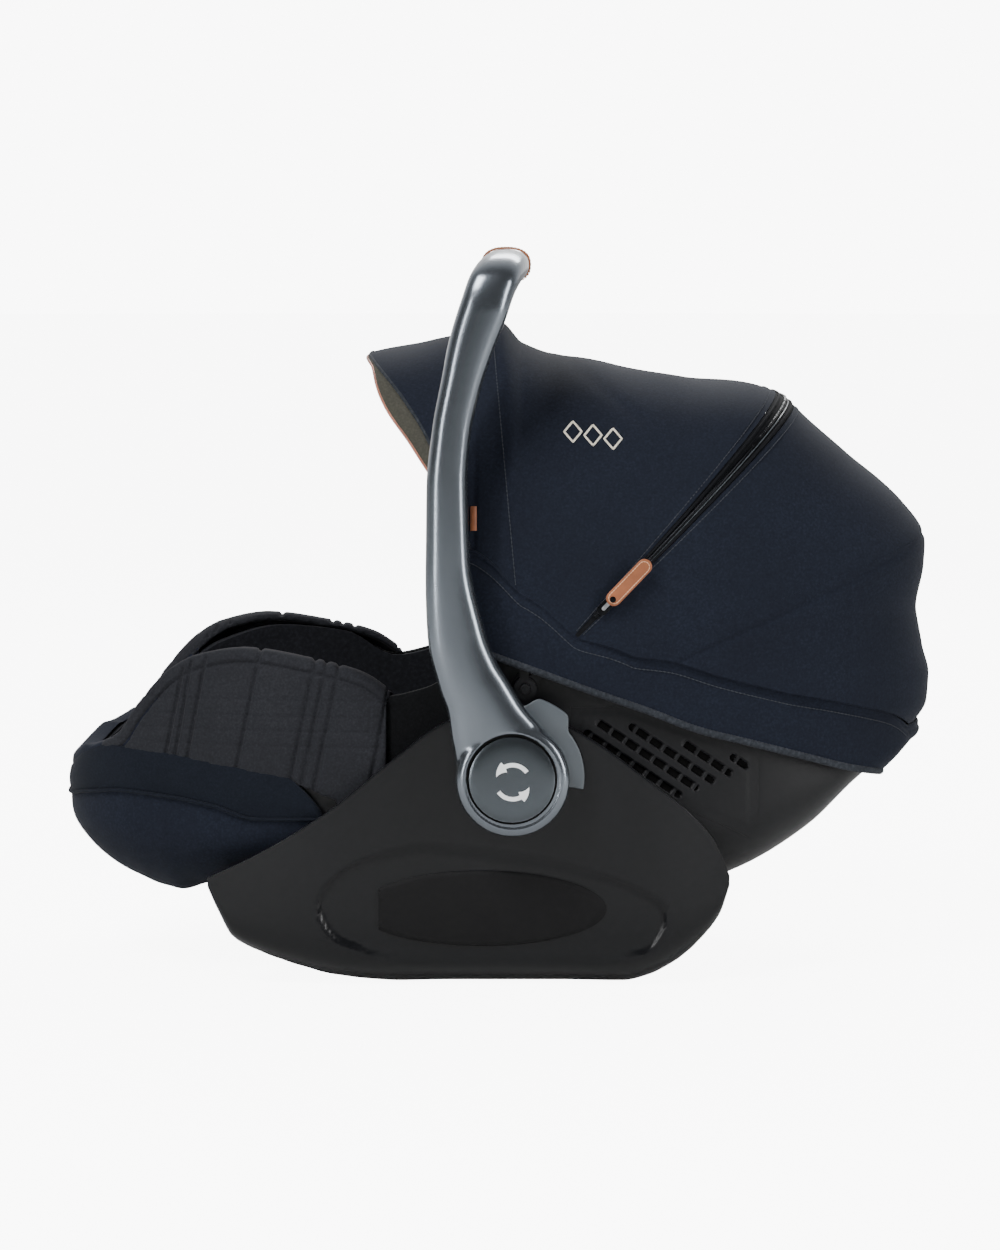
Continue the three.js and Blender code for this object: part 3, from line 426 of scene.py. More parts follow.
def rounded(obj, width, segments=3, angle=40):
    """Rounds a piece's edges by a width in millimetres."""
    add_bevel(obj, width, segments, angle)
    apply_modifiers(obj)
    obj.data.set_sharp_from_angle(angle=math.radians(50))
    return obj


def apply_modifiers(obj):
    bpy.context.view_layer.update()
    evaluated = obj.evaluated_get(bpy.context.evaluated_depsgraph_get())
    mesh = bpy.data.meshes.new_from_object(evaluated)
    obj.modifiers.clear()
    old = obj.data
    obj.data = mesh
    bpy.data.meshes.remove(old)
    return obj


def coordinates(obj):
    co = np.empty(len(obj.data.vertices) * 3)
    obj.data.vertices.foreach_get("co", co)
    return co.reshape(-1, 3) / MM


def normals(obj):
    out = np.empty(len(obj.data.vertices) * 3)
    obj.data.vertices.foreach_get("normal", out)
    return out.reshape(-1, 3)


def set_coordinates(obj, points):
    obj.data.vertices.foreach_set("co", (points * MM).ravel())
    obj.data.update()


def cut(obj, *boxes):
    """Takes boxes (low corner, high corner) out of a piece."""
    for low, high in boxes:
        low, high = np.array(low, float), np.array(high, float)
        corners = np.array([[(low, high)[(i >> k) & 1][k] for k in range(3)] for i in range(8)])
        sides = np.array([[0, 1, 3, 2], [4, 6, 7, 5], [0, 4, 5, 1],
                          [2, 3, 7, 6], [0, 2, 6, 4], [1, 5, 7, 3]])
        tool = make(obj.name + "_cut", corners, [sides])
        subtract(obj, tool)
    return obj


def subtract(obj, tool):
    add_modifier(obj, "cut", "BOOLEAN", operation="DIFFERENCE", solver="EXACT", object=tool)
    apply_modifiers(obj)
    bpy.data.objects.remove(tool)
    obj.data.set_sharp_from_angle(angle=math.radians(40))


def subdivide(obj, levels):
    add_modifier(obj, "subdivision", "SUBSURF", levels=levels, render_levels=levels)
    apply_modifiers(obj)
    smooth_faces(obj.data)
    return obj


def finish_piece(obj, body, slot, *replaced):
    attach(obj, body)
    if replaced:
        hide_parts(*replaced)
    return obj


# ---------- materials ----------
def linear(code):
    channels = [int(code[i:i + 2], 16) / 255 for i in (0, 2, 4)]
    return [c / 12.92 if c <= 0.04045 else ((c + 0.055) / 1.055) ** 2.4 for c in channels] + [1.0]


class Shader:
    """A Principled material whose nodes are added one by one. Textures use object space, in metres."""

    def __init__(self, name, roughness, metallic=0.0, **fixed):
        self.material = bpy.data.materials.new(name)
        self.material.use_nodes = True
        self.tree = self.material.node_tree
        self.bsdf = self.tree.nodes["Principled BSDF"]
        self.bsdf.inputs["Roughness"].default_value = roughness
        self.bsdf.inputs["Metallic"].default_value = metallic
        for socket, value in fixed.items():
            self.bsdf.inputs[socket.replace("_", " ")].default_value = value
        self.place = self.add("ShaderNodeTexCoord").outputs["Object"]

    def add(self, kind, **settings):
        node = self.tree.nodes.new(kind)
        for key, value in settings.items():
            if hasattr(node, key):
                setattr(node, key, value)
            else:
                node.inputs[key.replace("_", " ")].default_value = value
        return node

    def link(self, a, b):
        self.tree.links.new(a, b)

    def stretched(self, scale):
        mapping = self.add("ShaderNodeMapping")
        mapping.inputs["Scale"].default_value = scale
        self.link(self.place, mapping.inputs["Vector"])
        return mapping.outputs["Vector"]

    def noise(self, scale, detail=2.0, place=None):
        node = self.add("ShaderNodeTexNoise", Scale=scale, Detail=detail)
        self.link(self.place if place is None else place, node.inputs["Vector"])
        return node.outputs["Fac"]

    def math(self, operation, a, b):
        node = self.add("ShaderNodeMath", operation=operation)
        for socket, value in zip(node.inputs, (a, b)):
            if isinstance(value, (int, float)):
                socket.default_value = value
            else:
                self.link(value, socket)
        return node.outputs[0]

    def ramp(self, value, *stops):
        node = self.add("ShaderNodeValToRGB")
        elements = node.color_ramp.elements
        while len(elements) < len(stops):
            elements.new(0.5)
        for element, (position, colour) in zip(elements, stops):
            element.position = position
            element.color = colour
        self.link(value, node.inputs["Fac"])
        return node.outputs["Color"]

    def colour(self, value, *stops):
        self.link(self.ramp(value, *stops), self.bsdf.inputs["Base Color"])

    def rough(self, value, low, high):
        node = self.add("ShaderNodeMapRange", To_Min=low, To_Max=high)
        self.link(value, node.inputs["Value"])
        self.link(node.outputs["Result"], self.bsdf.inputs["Roughness"])

    def bump(self, height, strength, distance):
        node = self.add("ShaderNodeBump", Strength=strength, Distance=distance * MM)
        self.link(height, node.inputs["Height"])
        self.link(node.outputs["Normal"], self.bsdf.inputs["Normal"])


def shade(code, factor):
    c = linear(code)
    return [min(1, v * factor) for v in c[:3]] + [1.0]


def fabric(name, code, thread=0.9, contrast=0.35, relief=0.5, sheen=0.02, roughness=0.92):
    """Woven cloth: crossing threads, flecks of lighter yarn and a slow change of tone."""
    s = Shader(name, roughness, Sheen_Weight=sheen, Sheen_Roughness=0.5, Specular_IOR_Level=0.1)
    pitch = 1000 / thread
    warp = s.noise(1.0, 1.0, s.stretched((pitch * 0.15, pitch * 0.15, pitch)))
    weft = s.noise(1.0, 1.0, s.stretched((pitch, pitch, pitch * 0.15)))
    weave = s.math("MAXIMUM", warp, weft)
    fleck = s.noise(pitch * 0.45, 3.0)
    slow = s.noise(14.0, 3.0)
    tone = s.math("ADD", s.math("MULTIPLY", fleck, 0.7), s.math("MULTIPLY", slow, 0.3))
    s.colour(tone, (0.3, shade(code, 1 - contrast)), (0.52, linear(code)),
             (0.7, shade(code, 1 + 1.6 * contrast)))
    s.rough(slow, roughness - 0.08, roughness)
    s.bump(s.math("ADD", weave, s.math("MULTIPLY", fleck, 0.5)), relief, 0.35)
    return s.material


def webbing(name, code):
    """Harness strap: ribs across its length and a fine twill."""
    s = Shader(name, 0.7, Sheen_Weight=0.15, Specular_IOR_Level=0.35)
    rib = s.add("ShaderNodeTexWave", wave_type="BANDS", bands_direction="DIAGONAL", Scale=160.0,
                Distortion=1.0)
    s.link(s.place, rib.inputs["Vector"])
    fine = s.noise(1500.0, 2.0)
    s.colour(s.math("ADD", s.math("MULTIPLY", rib.outputs["Fac"], 0.6), s.math("MULTIPLY", fine, 0.4)),
             (0.2, shade(code, 0.7)), (0.8, shade(code, 1.4)))
    s.bump(rib.outputs["Fac"], 0.5, 0.4)
    return s.material


def plastic(name, code, roughness, grain=0.25, clear=0.0, metallic=0.0, spread=0.06, level=0.5):
    """Moulded plastic or paint: fine grain, faint flow marks and a little rubbed gloss."""
    s = Shader(name, roughness, metallic, Coat_Weight=clear, Coat_Roughness=0.25, Specular_IOR_Level=level)
    slow = s.noise(6.0, 3.0)
    fine = s.noise(1600.0, 2.0)
    smudge = s.noise(38.0, 4.0)
    s.colour(slow, (0.3, shade(code, 0.86)), (0.7, shade(code, 1.14)))
    s.rough(s.math("ADD", s.math("MULTIPLY", slow, 0.5), s.math("MULTIPLY", smudge, 0.5)),
            roughness - spread, roughness + spread)
    s.bump(fine, grain, 0.08)
    return s.material


def metal(name, code, roughness, brushed=0.0):
    s = Shader(name, roughness, 1.0)
    lines = s.noise(1.0, 2.0, s.stretched((900, 900, 40)))
    slow = s.noise(25.0, 3.0)
    s.colour(slow, (0.3, shade(code, 0.85)), (0.7, shade(code, 1.1)))
    s.rough(slow, roughness - 0.08, roughness + 0.08)
    s.bump(lines, brushed, 0.05)
    return s.material


def leather(name, code):
    """Smooth leather: pebble grain, darker creases and worn lighter spots."""
    s = Shader(name, 0.5, Specular_IOR_Level=0.4, Coat_Weight=0.1, Coat_Roughness=0.4)
    cells = s.add("ShaderNodeTexVoronoi", feature="DISTANCE_TO_EDGE", Scale=700.0)
    s.link(s.place, cells.inputs["Vector"])
    slow = s.noise(60.0, 4.0)
    s.colour(slow, (0.3, shade(code, 0.72)), (0.5, linear(code)), (0.72, shade(code, 1.3)))
    s.rough(slow, 0.42, 0.62)
    s.bump(s.math("MINIMUM", cells.outputs["Distance"], 0.25), 0.5, 0.3)
    return s.material


HOUSING = plastic("housing_plastic", "0b0c0f", 0.3, grain=0.15, level=0.3)
DARK_PAD = plastic("side_pad_rubber", "09090b", 0.75, grain=0.5, level=0.25)
SHELL = plastic("shell_plastic", "0c0d10", 0.46, grain=0.2, level=0.25)
# Near-black for painted shade: the floors of the grille's slots and the ring round the hub cap.
PAINTED_BLACK_SHADE = plastic("painted_shade_black", "030303", 0.9, grain=0.2, level=0.1)
GUNMETAL = plastic("gunmetal_paint", "686e75", 0.23, grain=0.08, clear=0.3, metallic=0.9, spread=0.03)
CAP_PAINT = plastic("cap_paint", "454b50", 0.24, grain=0.1, clear=0.4, metallic=0.85, spread=0.04)
GREY = plastic("grey_plastic", "4c5257", 0.36, grain=0.2)
WHITE = plastic("white_print", "e9ebec", 0.55, grain=0.1)
RED = plastic("red_plastic", "a81f27", 0.35, grain=0.15)
STEEL = metal("steel", "9a9c9f", 0.33, brushed=0.3)
BLACK_METAL = metal("black_zip_metal", "1c1d1f", 0.3, brushed=0.1)
NAVY = fabric("navy_cloth", "171b25", thread=0.9, contrast=0.22, relief=0.35)
BAND_NAVY = fabric("navy_jersey", "12161e", thread=0.7, contrast=0.2, relief=0.3)
QUILT = fabric("charcoal_cloth", "232428", thread=0.8, contrast=0.22, relief=0.3)
INNER = fabric("charcoal_mesh", "1a1b1f", thread=1.4, contrast=0.35, relief=0.6)
LINING = fabric("visor_lining_cloth", "3f3e38", thread=0.8, contrast=0.18, relief=0.3)
BINDING = fabric("ribbed_binding", "2c2f34", thread=1.2, contrast=0.35, relief=0.9)
# Near-black cloth for painted shade over the tub's rim.
PAINTED_SHADE_CLOTH = fabric("painted_shade_cloth", "0b0c0e", thread=1.0, contrast=0.3, sheen=0.02)
TAPE = fabric("zip_tape_cloth", "101114", thread=0.8, contrast=0.3)
THREAD = fabric("stitch_thread", "33363c", thread=0.5, contrast=0.2)
CREAM = fabric("cream_thread", "d9d2c2", thread=0.5, contrast=0.12, relief=0.8, roughness=0.8)
STRAP = webbing("harness_webbing", "1d1e22")
TAN = leather("tan_leather", "8a5233")
PIPING = leather("tan_piping", "9a6350")
TAN_EDGE = leather("tan_thread", "c99a78")


# ---------- base ----------
def closed_curve(points, count):
    """A smooth closed outline through a few points."""
    p = np.array(points, float)
    n = len(p)
    t = np.linspace(0, n, count, endpoint=False)
    i = t.astype(int)
    f = (t - i)[:, None]
    a, b, c, d = p[(i - 1) % n], p[i], p[(i + 1) % n], p[(i + 2) % n]
    square, cube = 2 * a - 5 * b + 4 * c - d, 3 * b - a - 3 * c + d
    return 0.5 * (2 * b + (c - a) * f + square * f ** 2 + cube * f ** 3)


def inside_distance(x, z, outline):
    """Distance to a closed outline, positive inside it."""
    best = np.full(x.shape, 1e9)
    inside = np.zeros(x.shape, bool)
    for (ax, az), (bx, bz) in zip(outline, np.roll(outline, -1, axis=0)):
        dx, dz = bx - ax, bz - az
        t = np.clip(((x - ax) * dx + (z - az) * dz) / (dx * dx + dz * dz), 0, 1)
        best = np.minimum(best, np.hypot(x - ax - t * dx, z - az - t * dz))
        crosses = (az > z) != (bz > z)
        inside ^= crosses & (x < ax + (z - az) * dx / np.where(abs(dz) < 1e-9, 1e-9, dz))
    return np.where(inside, best, -best)


RECESS = closed_curve([(-146, 68), (-135, 88), (-110, 105), (-70, 118), (-39, 117), (37, 107), (80, 94),
                       (108, 81), (129, 68), (134, 53), (126, 35), (114, 25), (60, 14), (-20, 12),
                       (-97, 22), (-115, 30), (-131, 37), (-142, 50)], 120)
RECESS_DEPTH = 4.4


def recess_depth(x, z):
    """The pressed panel: a broad slope under its upper edge and a tight one elsewhere."""
    d = inside_distance(x, z, RECESS)
    slope = 3.5 + 9 * smoothstep(z, 72, 98) * smoothstep(x, -125, -70) * (1 - smoothstep(x, 60, 110))
    return RECESS_DEPTH * smoothstep(d / slope, 0, 1) * smoothstep(z, 14, 36)


def wall_with_recess(x, z):
    return base_wall_y(x, z) - recess_depth(x, z)


def base_housing():
    """The outer housing, with its pressed panels and the openings that the lock bars cross."""
    u = np.linspace(0, 1, 150)
    along = -25 - 209 * np.cos(math.pi * (0.08 + 0.84 * u)) / math.cos(0.08 * math.pi)
    v = np.linspace(-1, 1, 230)
    x, v = np.meshgrid(along, v, indexing="ij")

    def layer(depth):
        p = base_point(x, v, depth)
        recess = np.where(np.abs(v) > 0.3, recess_depth(p[..., 0], p[..., 2]), 0)
        p[..., 1] -= np.sign(v) * recess
        return p

    obj = slab("housing", layer(0), layer(BASE_WALL), HOUSING, sharp=50)
    cut(obj, ((-260, -146, 20), (-196, 146, 130)), ((164, -146, 42), (200, 146, 130)))
    rounded(obj, 1.1, segments=2, angle=60)
    finish_piece(obj, "base", "housing", "base_housing")


def side_pad(name, side):
    """The dark insert in the housing's recess."""
    share = np.linspace(0, 1, 24)[:, None]
    angle = full_turn(120)[None]
    x = np.maximum(-14 + 99 * share * np.cos(angle), -97)
    z = 63 + 31 * share * np.sin(angle)
    edge = np.clip((1 - share) * 14, 0, 1) ** 0.5
    outer = stack(x, side * (wall_with_recess(x, z) + 0.9 + 1.5 * edge), z)
    inner = stack(x, side * (wall_with_recess(x, z) + 0.5), z)
    obj = dish("side_pad_insert_" + name, outer, inner, DARK_PAD, sharp=50)
    finish_piece(obj, "base", "dark_pad", "side_pad_" + name)


base_housing()
for name, side in SIDES:
    side_pad(name, side)


# ---------- seat tub ----------
BOWL_SHARE = 0.75  # of a layer's rows, how many make the bowl; the others make the wall above it


def tub_layer(depth, rim, n_share=70, n_turn=200):
    share = np.linspace(0, 1, n_share)[:, None]
    turn = full_turn(n_turn)[None]
    angle = np.minimum(share / BOWL_SHARE, 1) * math.pi / 2
    low = tub_point(turn, np.clip(roundness(angle, WALL_POWER) * np.sin(angle), 0, 1), depth)
    wall_x, wall_y = tub_wall(turn, depth)
    up = np.clip((share - BOWL_SHARE) / (1 - BOWL_SHARE), 0, 1)
    height = tub_shoulder(wall_x) + (rim(tub_wall(turn, 0)[0]) - tub_shoulder(wall_x)) * up
    return np.where((share <= BOWL_SHARE)[..., None], low, stack(wall_x, wall_y, height))


def vent_mask(x, z):
    """1 inside the field of the grille, 0 outside it, with a soft edge."""
    low, high = 186 - 0.45 * (x - 58), np.minimum(222, 236 - 0.36 * (x - 58))
    return smoothstep(np.minimum.reduce([z - low, high - z, x - 62, 202 - x]), 0, 6)


def seat_shell():
    outer, inner = tub_layer(0, shell_rim), tub_layer(3.5, shell_rim)
    for layer, sink in ((outer, 3.0), (inner, 1.6)):
        x, y, z = layer[..., 0], layer[..., 1], layer[..., 2]
        layer[..., 1] = y - np.sign(y) * sink * vent_mask(x, z) * (abs(y) > 100)
    obj = dish("shell", outer, inner, SHELL, sharp=50)
    rounded(obj, 0.9, segments=2, angle=60)
    finish_piece(obj, "seat", "plastic", "seat_shell")


VENT_SLOPE = math.radians(34.3)
# Rows of slots: height across the slope, first and last place along it.
VENT_ROWS = [(206.5, -60, 35), (219, -57, 43), (231, -33, 51), (243.5, 10, 59.5), (255.5, 49, 67)]
SLOT_HALF, BRIDGE_PITCH, BRIDGE_HALF = 3.2, 13.5, 1.5


def slot_depth(x, z):
    """How far the grille is sunk at a place: deep slots, with shallower bridges across them."""
    s = x * math.cos(VENT_SLOPE) - z * math.sin(VENT_SLOPE)
    n = x * math.sin(VENT_SLOPE) + z * math.cos(VENT_SLOPE)
    depth = np.zeros_like(s)
    for i, (row, start, stop) in enumerate(VENT_ROWS):
        along = np.maximum(start - s, s - stop) + SLOT_HALF
        gap = np.hypot(np.maximum(along, 0), n - row) - SLOT_HALF
        phase = (s - start + 5 * (i % 2)) % BRIDGE_PITCH - BRIDGE_PITCH / 2
        bridge = 1 - smoothstep(np.abs(phase), BRIDGE_HALF - 0.4, BRIDGE_HALF + 0.5)
        depth = np.maximum(depth, (1 - smoothstep(gap, -0.8, 0.2)) * (2.6 - 2.1 * bridge))
    return depth


def vent_grille(name, side):
    turn = np.linspace(turn_at(56), turn_at(208), 260)[:, None]
    x = tub_wall(turn, 0)[0]
    low = 184 - 0.45 * (x - 58) - 2
    high = np.minimum(224, 240 - 0.36 * (x - 58))
    v = np.linspace(0, 1, 110)[None]
    z = low + (high - low) * v
    turn, z = np.broadcast_arrays(turn, z)
    flat = tub_at(turn, z, 0)
    sunk = slot_depth(flat[..., 0], flat[..., 2])
    field = vent_mask(flat[..., 0], flat[..., 2])
    outer = tub_at(turn, z, -0.35 - 0.3 * field + sunk * field)
    inner = tub_at(turn, z, -0.1 + 2.6 * field)
    obj = slab("grille_" + name, mirror(outer, side), mirror(inner, side), SHELL, PAINTED_BLACK_SHADE, sharp=60)
    # The floors of the deep slots take the near-black material: painted shade standing for dark openings.
    dark = sunk > 1.2
    nu, nv = dark.shape
    cells = (dark[:-1, :-1] & dark[1:, 1:]).ravel()
    index = np.zeros(len(obj.data.polygons), np.int32)
    index[:(nu - 1) * (nv - 1)] = cells
    obj.data.polygons.foreach_set("material_index", index)
    finish_piece(obj, "seat", "plastic", "vent_grille_" + name)


def seat_liner():
    """The padded lining: a rolled top edge and stitched channels across the seat."""
    def layer(depth, puff):
        p = tub_layer(depth, lambda x: shell_rim(x) + 3, 90, 240)
        x, z = p[..., 0], p[..., 2]
        channel = np.exp(-(((x + 400) % 46 - 23) / 2.2) ** 2)
        low = 1 - smoothstep(z, 150, 200)
        centre = np.array([TUB_CENTRE, 0, 230])
        inward = centre - p
        inward /= np.linalg.norm(inward, axis=-1, keepdims=True)
        return p - inward * (puff * channel * low)[..., None]

    obj = dish("lining_pad", layer(6.3, 0), layer(14, 2.2), QUILT, INNER, sharp=60)
    rounded(obj, 3.2, segments=4, angle=60)
    finish_piece(obj, "seat", "quilt_fabric", "seat_liner")


seat_shell()
seat_liner()
for name, side in SIDES:
    vent_grille(name, side)


# ---------- foot end ----------
def line_dip(x, z, top, bottom, width):
    """A soft valley along a line between two places, with full depth 1."""
    (ax, az), (bx, bz) = top, bottom
    dx, dz = bx - ax, bz - az
    t = np.clip(((x - ax) * dx + (z - az) * dz) / (dx * dx + dz * dz), 0, 1)
    return np.exp(-(np.hypot(x - ax - t * dx, z - az - t * dz) / width) ** 2)


# Sewn channels of the side cover: where each one crosses the top edge seam and the band.
CHANNELS = [((-236, 262), (-253, 176)), ((-248, 258), (-263, 178)), ((-255, 252), (-270, 182)),
            ((-190, 276), (-213, 168)), ((-146, 268), (-169, 160)), ((-137, 266), (-160, 158)),
            ((-127, 262), (-150, 154)), ((-88, 240), (-106, 150))]
CHANNEL_WIDTH = 1.7
TOP_SEAM = 13.0


def channel_dip(x, z):
    dip = np.zeros_like(x)
    for top, bottom in CHANNELS:
        dip = np.maximum(dip, line_dip(x, z, top, bottom, CHANNEL_WIDTH))
    return np.maximum(dip, 1.0 * np.exp(-((z - cover_top(x) + TOP_SEAM) / CHANNEL_WIDTH) ** 2))


CLOTH_FRAMES = 20
CLOTH_PRESSURE = 4.0


def inflated(obj, voxel, cap, held=None):
    """Swells a closed piece as air-filled cloth between its sewn lines, capping how far a point moves."""
    add_modifier(obj, "remesh", "REMESH", mode="VOXEL", voxel_size=voxel * MM)
    apply_modifiers(obj)
    rest = coordinates(obj)
    cloth = obj.modifiers.new("cloth", "CLOTH")
    cloth.settings.use_pressure = True
    cloth.settings.uniform_pressure_force = CLOTH_PRESSURE
    cloth.settings.effector_weights.gravity = 0
    if held is not None:
        group = obj.vertex_groups.new(name="held")
        group.add(np.flatnonzero(held(rest) > 0.5).tolist(), 1.0, "REPLACE")
        cloth.settings.vertex_group_mass = "held"
    cloth.point_cache.frame_start = 1
    cloth.point_cache.frame_end = CLOTH_FRAMES
    for f in range(1, CLOTH_FRAMES + 1):
        bpy.context.scene.frame_set(f)
    apply_modifiers(obj)
    bpy.context.scene.frame_set(1)
    obj.vertex_groups.clear()
    moved = coordinates(obj) - rest
    far = np.linalg.norm(moved, axis=1, keepdims=True)
    set_coordinates(obj, rest + moved * np.minimum(1, cap / np.maximum(far, 1e-6)))
    add_modifier(obj, "smooth", "SMOOTH", factor=0.5, iterations=2)
    return subdivide(obj, 1)


def section_rings(turn, section):
    """Rings for a loft along the tub's wall, from a section given as (depth, height) at each turn."""
    return np.stack([tub_at(turn, z, depth)[:, 0] for depth, z in section], axis=1)


def foot_turns(x, count):
    """Turns of the tub from x on the left side, round the foot end, to x on the right."""
    first = turn_at(x)
    return np.linspace(first, -2 * math.pi - first, count)[:, None]


def foot_cover(name, side):
    """Quilted pad on the side of the foot end. It rises outside the rim and rolls over it."""
    turn = np.linspace(turn_at(-320), turn_at(-88), 120)[:, None]
    x = tub_wall(turn, 0)[0]
    low = band_top(x) - 24 * smoothstep(x, -134, -116) - 4
    top = cover_top(x) - 1.5
    lip = np.clip(top - (shell_rim(x) + 3.6), 1.6, 8)
    # Round the section: up the outside, over the rim, back under the lip and down the inside.
    up = np.linspace(0, 1, 40)
    section = [(-7.6, low + (top - 6 - low) * t) for t in up]
    section += [(-7.6 + 7 * (1 - math.cos(a)), top - 6 + 6 * math.sin(a))
                for a in np.linspace(0.3, math.pi / 2, 5)]
    section += [(5, top), (11, top - 1.5), (13.5, top - lip * 0.6), (11, top - lip)]
    section += [(2, top - lip), (-3.6, top - lip - 2)]
    section += [(-3.9, low + (top - lip - 3 - low) * t) for t in up[::-1]]
    rings = section_rings(turn, section)
    obj = loft("quilted_cover_" + name, mirror(rings, side), QUILT, sharp=60)
    inflated(obj, 2.6, 4.0, lambda p: channel_dip(p[:, 0], p[:, 2]))
    p = coordinates(obj)
    out = normals(obj)
    outside = np.clip(smoothstep(side * out[:, 1], 0.1, 0.5) + smoothstep(out[:, 2], 0.3, 0.8), 0, 1)
    dip = channel_dip(p[:, 0], p[:, 2]) * outside
    faint = sum(np.exp(-(p[:, 2] - z) ** 2) for z in (229, 216, 204, 192)) * outside
    set_coordinates(obj, p - out * (2.4 * dip + 0.7 * faint)[:, None])
    finish_piece(obj, "seat", "quilt_fabric", "foot_cover_" + name)


def foot_boot():
    """The bag that hangs under the foot end, with a few soft folds towards its gathered edge."""
    turn = foot_turns(-142, 240)
    v = np.linspace(0, 1, 60)[None]
    wall_x = tub_wall(turn, 0)[0]

    def layer(depth, bag):
        edge = band_bottom(wall_x) + 2
        bowl = np.minimum(v / 0.82, 1)
        share = 0.6 + (tub_share_at(turn, edge, depth) - 0.6) * np.sin(bowl * math.pi / 2)
        p = tub_point(turn, share, depth)
        p[..., 2] += np.maximum(0, edge - p[:, -1:, 2]) * np.clip((v - 0.82) / 0.18, 0, 1)
        if bag:
            x, y = p[..., 0], p[..., 1]
            folds = 0.5 * np.sin(0.11 * x + 0.09 * y) + 0.3 * np.sin(0.23 * x - 0.05 * y + 1)
            fullness = np.sin(math.pi * bowl) ** 0.7
            p[..., 2] -= boot_sag(x) * (1 - share ** 6) + (1.2 + folds) * fullness * 0.8
        return p

    obj = slab("boot_bag", layer(-7.4, True), layer(-4.2, False), NAVY, sharp=60)
    rounded(obj, 1.2, segments=2, angle=60)
    finish_piece(obj, "seat", "navy_fabric", "foot_boot")


def foot_band():
    """The smooth band between the bag and the covers, with its hem."""
    turn = foot_turns(-139, 220)
    v = np.linspace(0, 1, 18)[None]
    x = tub_wall(turn, 0)[0]
    end = np.sqrt(np.clip((-138.5 - x) / 26, 0.02, 1))
    z = band_bottom(x) + (band_top(x) - band_bottom(x)) * v * end
    turn2, z = np.broadcast_arrays(turn, z)
    bulge = 1.6 * np.sin(math.pi * v) + 0.35 * np.sin(0.13 * x + 2) * np.sin(math.pi * v)
    obj = slab("band", tub_at(turn2, z, -7.4 - bulge), tub_at(turn2, z, -4.0), BAND_NAVY, sharp=60)
    rounded(obj, 0.8, segments=2, angle=60)
    edge = resample(tub_at(turn, band_bottom(x) + 1, -8.6)[:, 0], 2.0)
    hem = tube("band_hem", edge, 1.5, BAND_NAVY, sides=10)
    finish_piece(hem, "seat", "navy_fabric")
    finish_piece(obj, "seat", "navy_fabric", "foot_band")


def nose_cover():
    """The plain cloth that wraps the foot end above the band, between the two quilted covers."""
    turn = foot_turns(-272, 130)
    x = tub_wall(turn, 0)[0]
    low = band_top(x) - 3
    top = np.minimum(cover_top(np.maximum(x, -330)) - 3, shell_rim(x) + 7 + 9 * smoothstep(x, -338, -300))
    over = [(-5.6, 0.0), (-6.3, 0.25), (-6.3, 0.5), (-5.9, 0.75), (-4.6, 0.93), (0.0, 1.0), (7.0, 1.0),
            (12.0, 0.96)]
    under = [(12.0, 0.84), (5.0, 0.9), (-2.6, 0.84), (-3.8, 0.6), (-4.0, 0.3), (-4.0, 0.0)]
    rings = section_rings(turn, [(depth, low + (top - low) * t) for depth, t in over + under])
    # Where it rolls over the rim, its outer and inner faces both clear the rim.
    rings[:, 5:8, 2] = np.maximum(rings[:, 5:8, 2], shell_rim(x) + 4.6)
    rings[:, 8:11, 2] = np.maximum(rings[:, 8:11, 2], shell_rim(x) + 3.4)
    obj = loft("nose_cover", rings, NAVY, sharp=60)
    subdivide(obj, 1)
    finish_piece(obj, "seat", "navy_fabric")


def rim_shade_sheet(name, side):
    """A near-black sheet that laps over the tub's rim between the side cover and the handle: painted shade
    where the seat's side is in shadow.
    """
    turn = np.linspace(turn_at(-112), turn_at(-4), 70)[:, None]
    x = tub_wall(turn, 0)[0]
    low, top = base_rim(x) - 16, shell_rim(x) + 4.2
    up = np.linspace(0, 1, 14)
    section = [(-1.4, low + (top - 2 - low) * t) for t in up]
    section += [(-0.6, top), (4, top + 0.5), (9, top), (9, top - 0.7), (4, top - 0.6), (-0.35, top - 1.5)]
    section += [(-0.4, low + (top - 2.4 - low) * t) for t in up[::-1]]
    obj = loft("rim_shade_sheet_" + name, mirror(section_rings(turn, section), side), PAINTED_SHADE_CLOTH, sharp=60)
    finish_piece(obj, "seat", "dark_pad")


for name, side in SIDES:
    rim_shade_sheet(name, side)
foot_boot()
foot_band()
nose_cover()
for name, side in SIDES:
    foot_cover(name, side)


# ---------- canopy ----------
BACK_START, LAP = -7.6, 0.15
ZIP_HALF = 1.6
MID_SPAN, FRONT_SPAN = (REAR_ANGLE, ZIP_ANGLE - ZIP_HALF), (ZIP_ANGLE + ZIP_HALF, RIDGE_ANGLE)


def blend_rear(obj):
    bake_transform(obj)


def blend_front(obj):
    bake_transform(obj)


def soft_unevenness(p):
    """A slow ripple in the hung cloth, under a millimetre deep."""
    x, y, z = p[..., 0], p[..., 1], p[..., 2]
    return (0.45 * np.sin(0.031 * x + 0.017 * z + 0.02 * y) * np.sin(0.027 * z - 0.011 * x + 1.3)
            + 0.25 * np.sin(0.071 * x - 0.045 * z + 0.8) * np.sin(0.05 * y + 0.6))


# Creases and the hem fold, each from one place (x, z) to another.
REAR_CREASE = ((357, 356), (143, 261))
FRONT_CREASE = ((54, 499), (111, 452))
HEM_FOLD = ((-19, 492), (-21, 352))


def panel_relief(p):
    x, z = p[..., 0], p[..., 2]
    return (soft_unevenness(p) + 1.5 * line_dip(x, z, *REAR_CREASE, 2.2)
            + 0.7 * line_dip(x, z, *FRONT_CREASE, 6.0) + 1.3 * line_dip(x, z, *HEM_FOLD, 2.4))


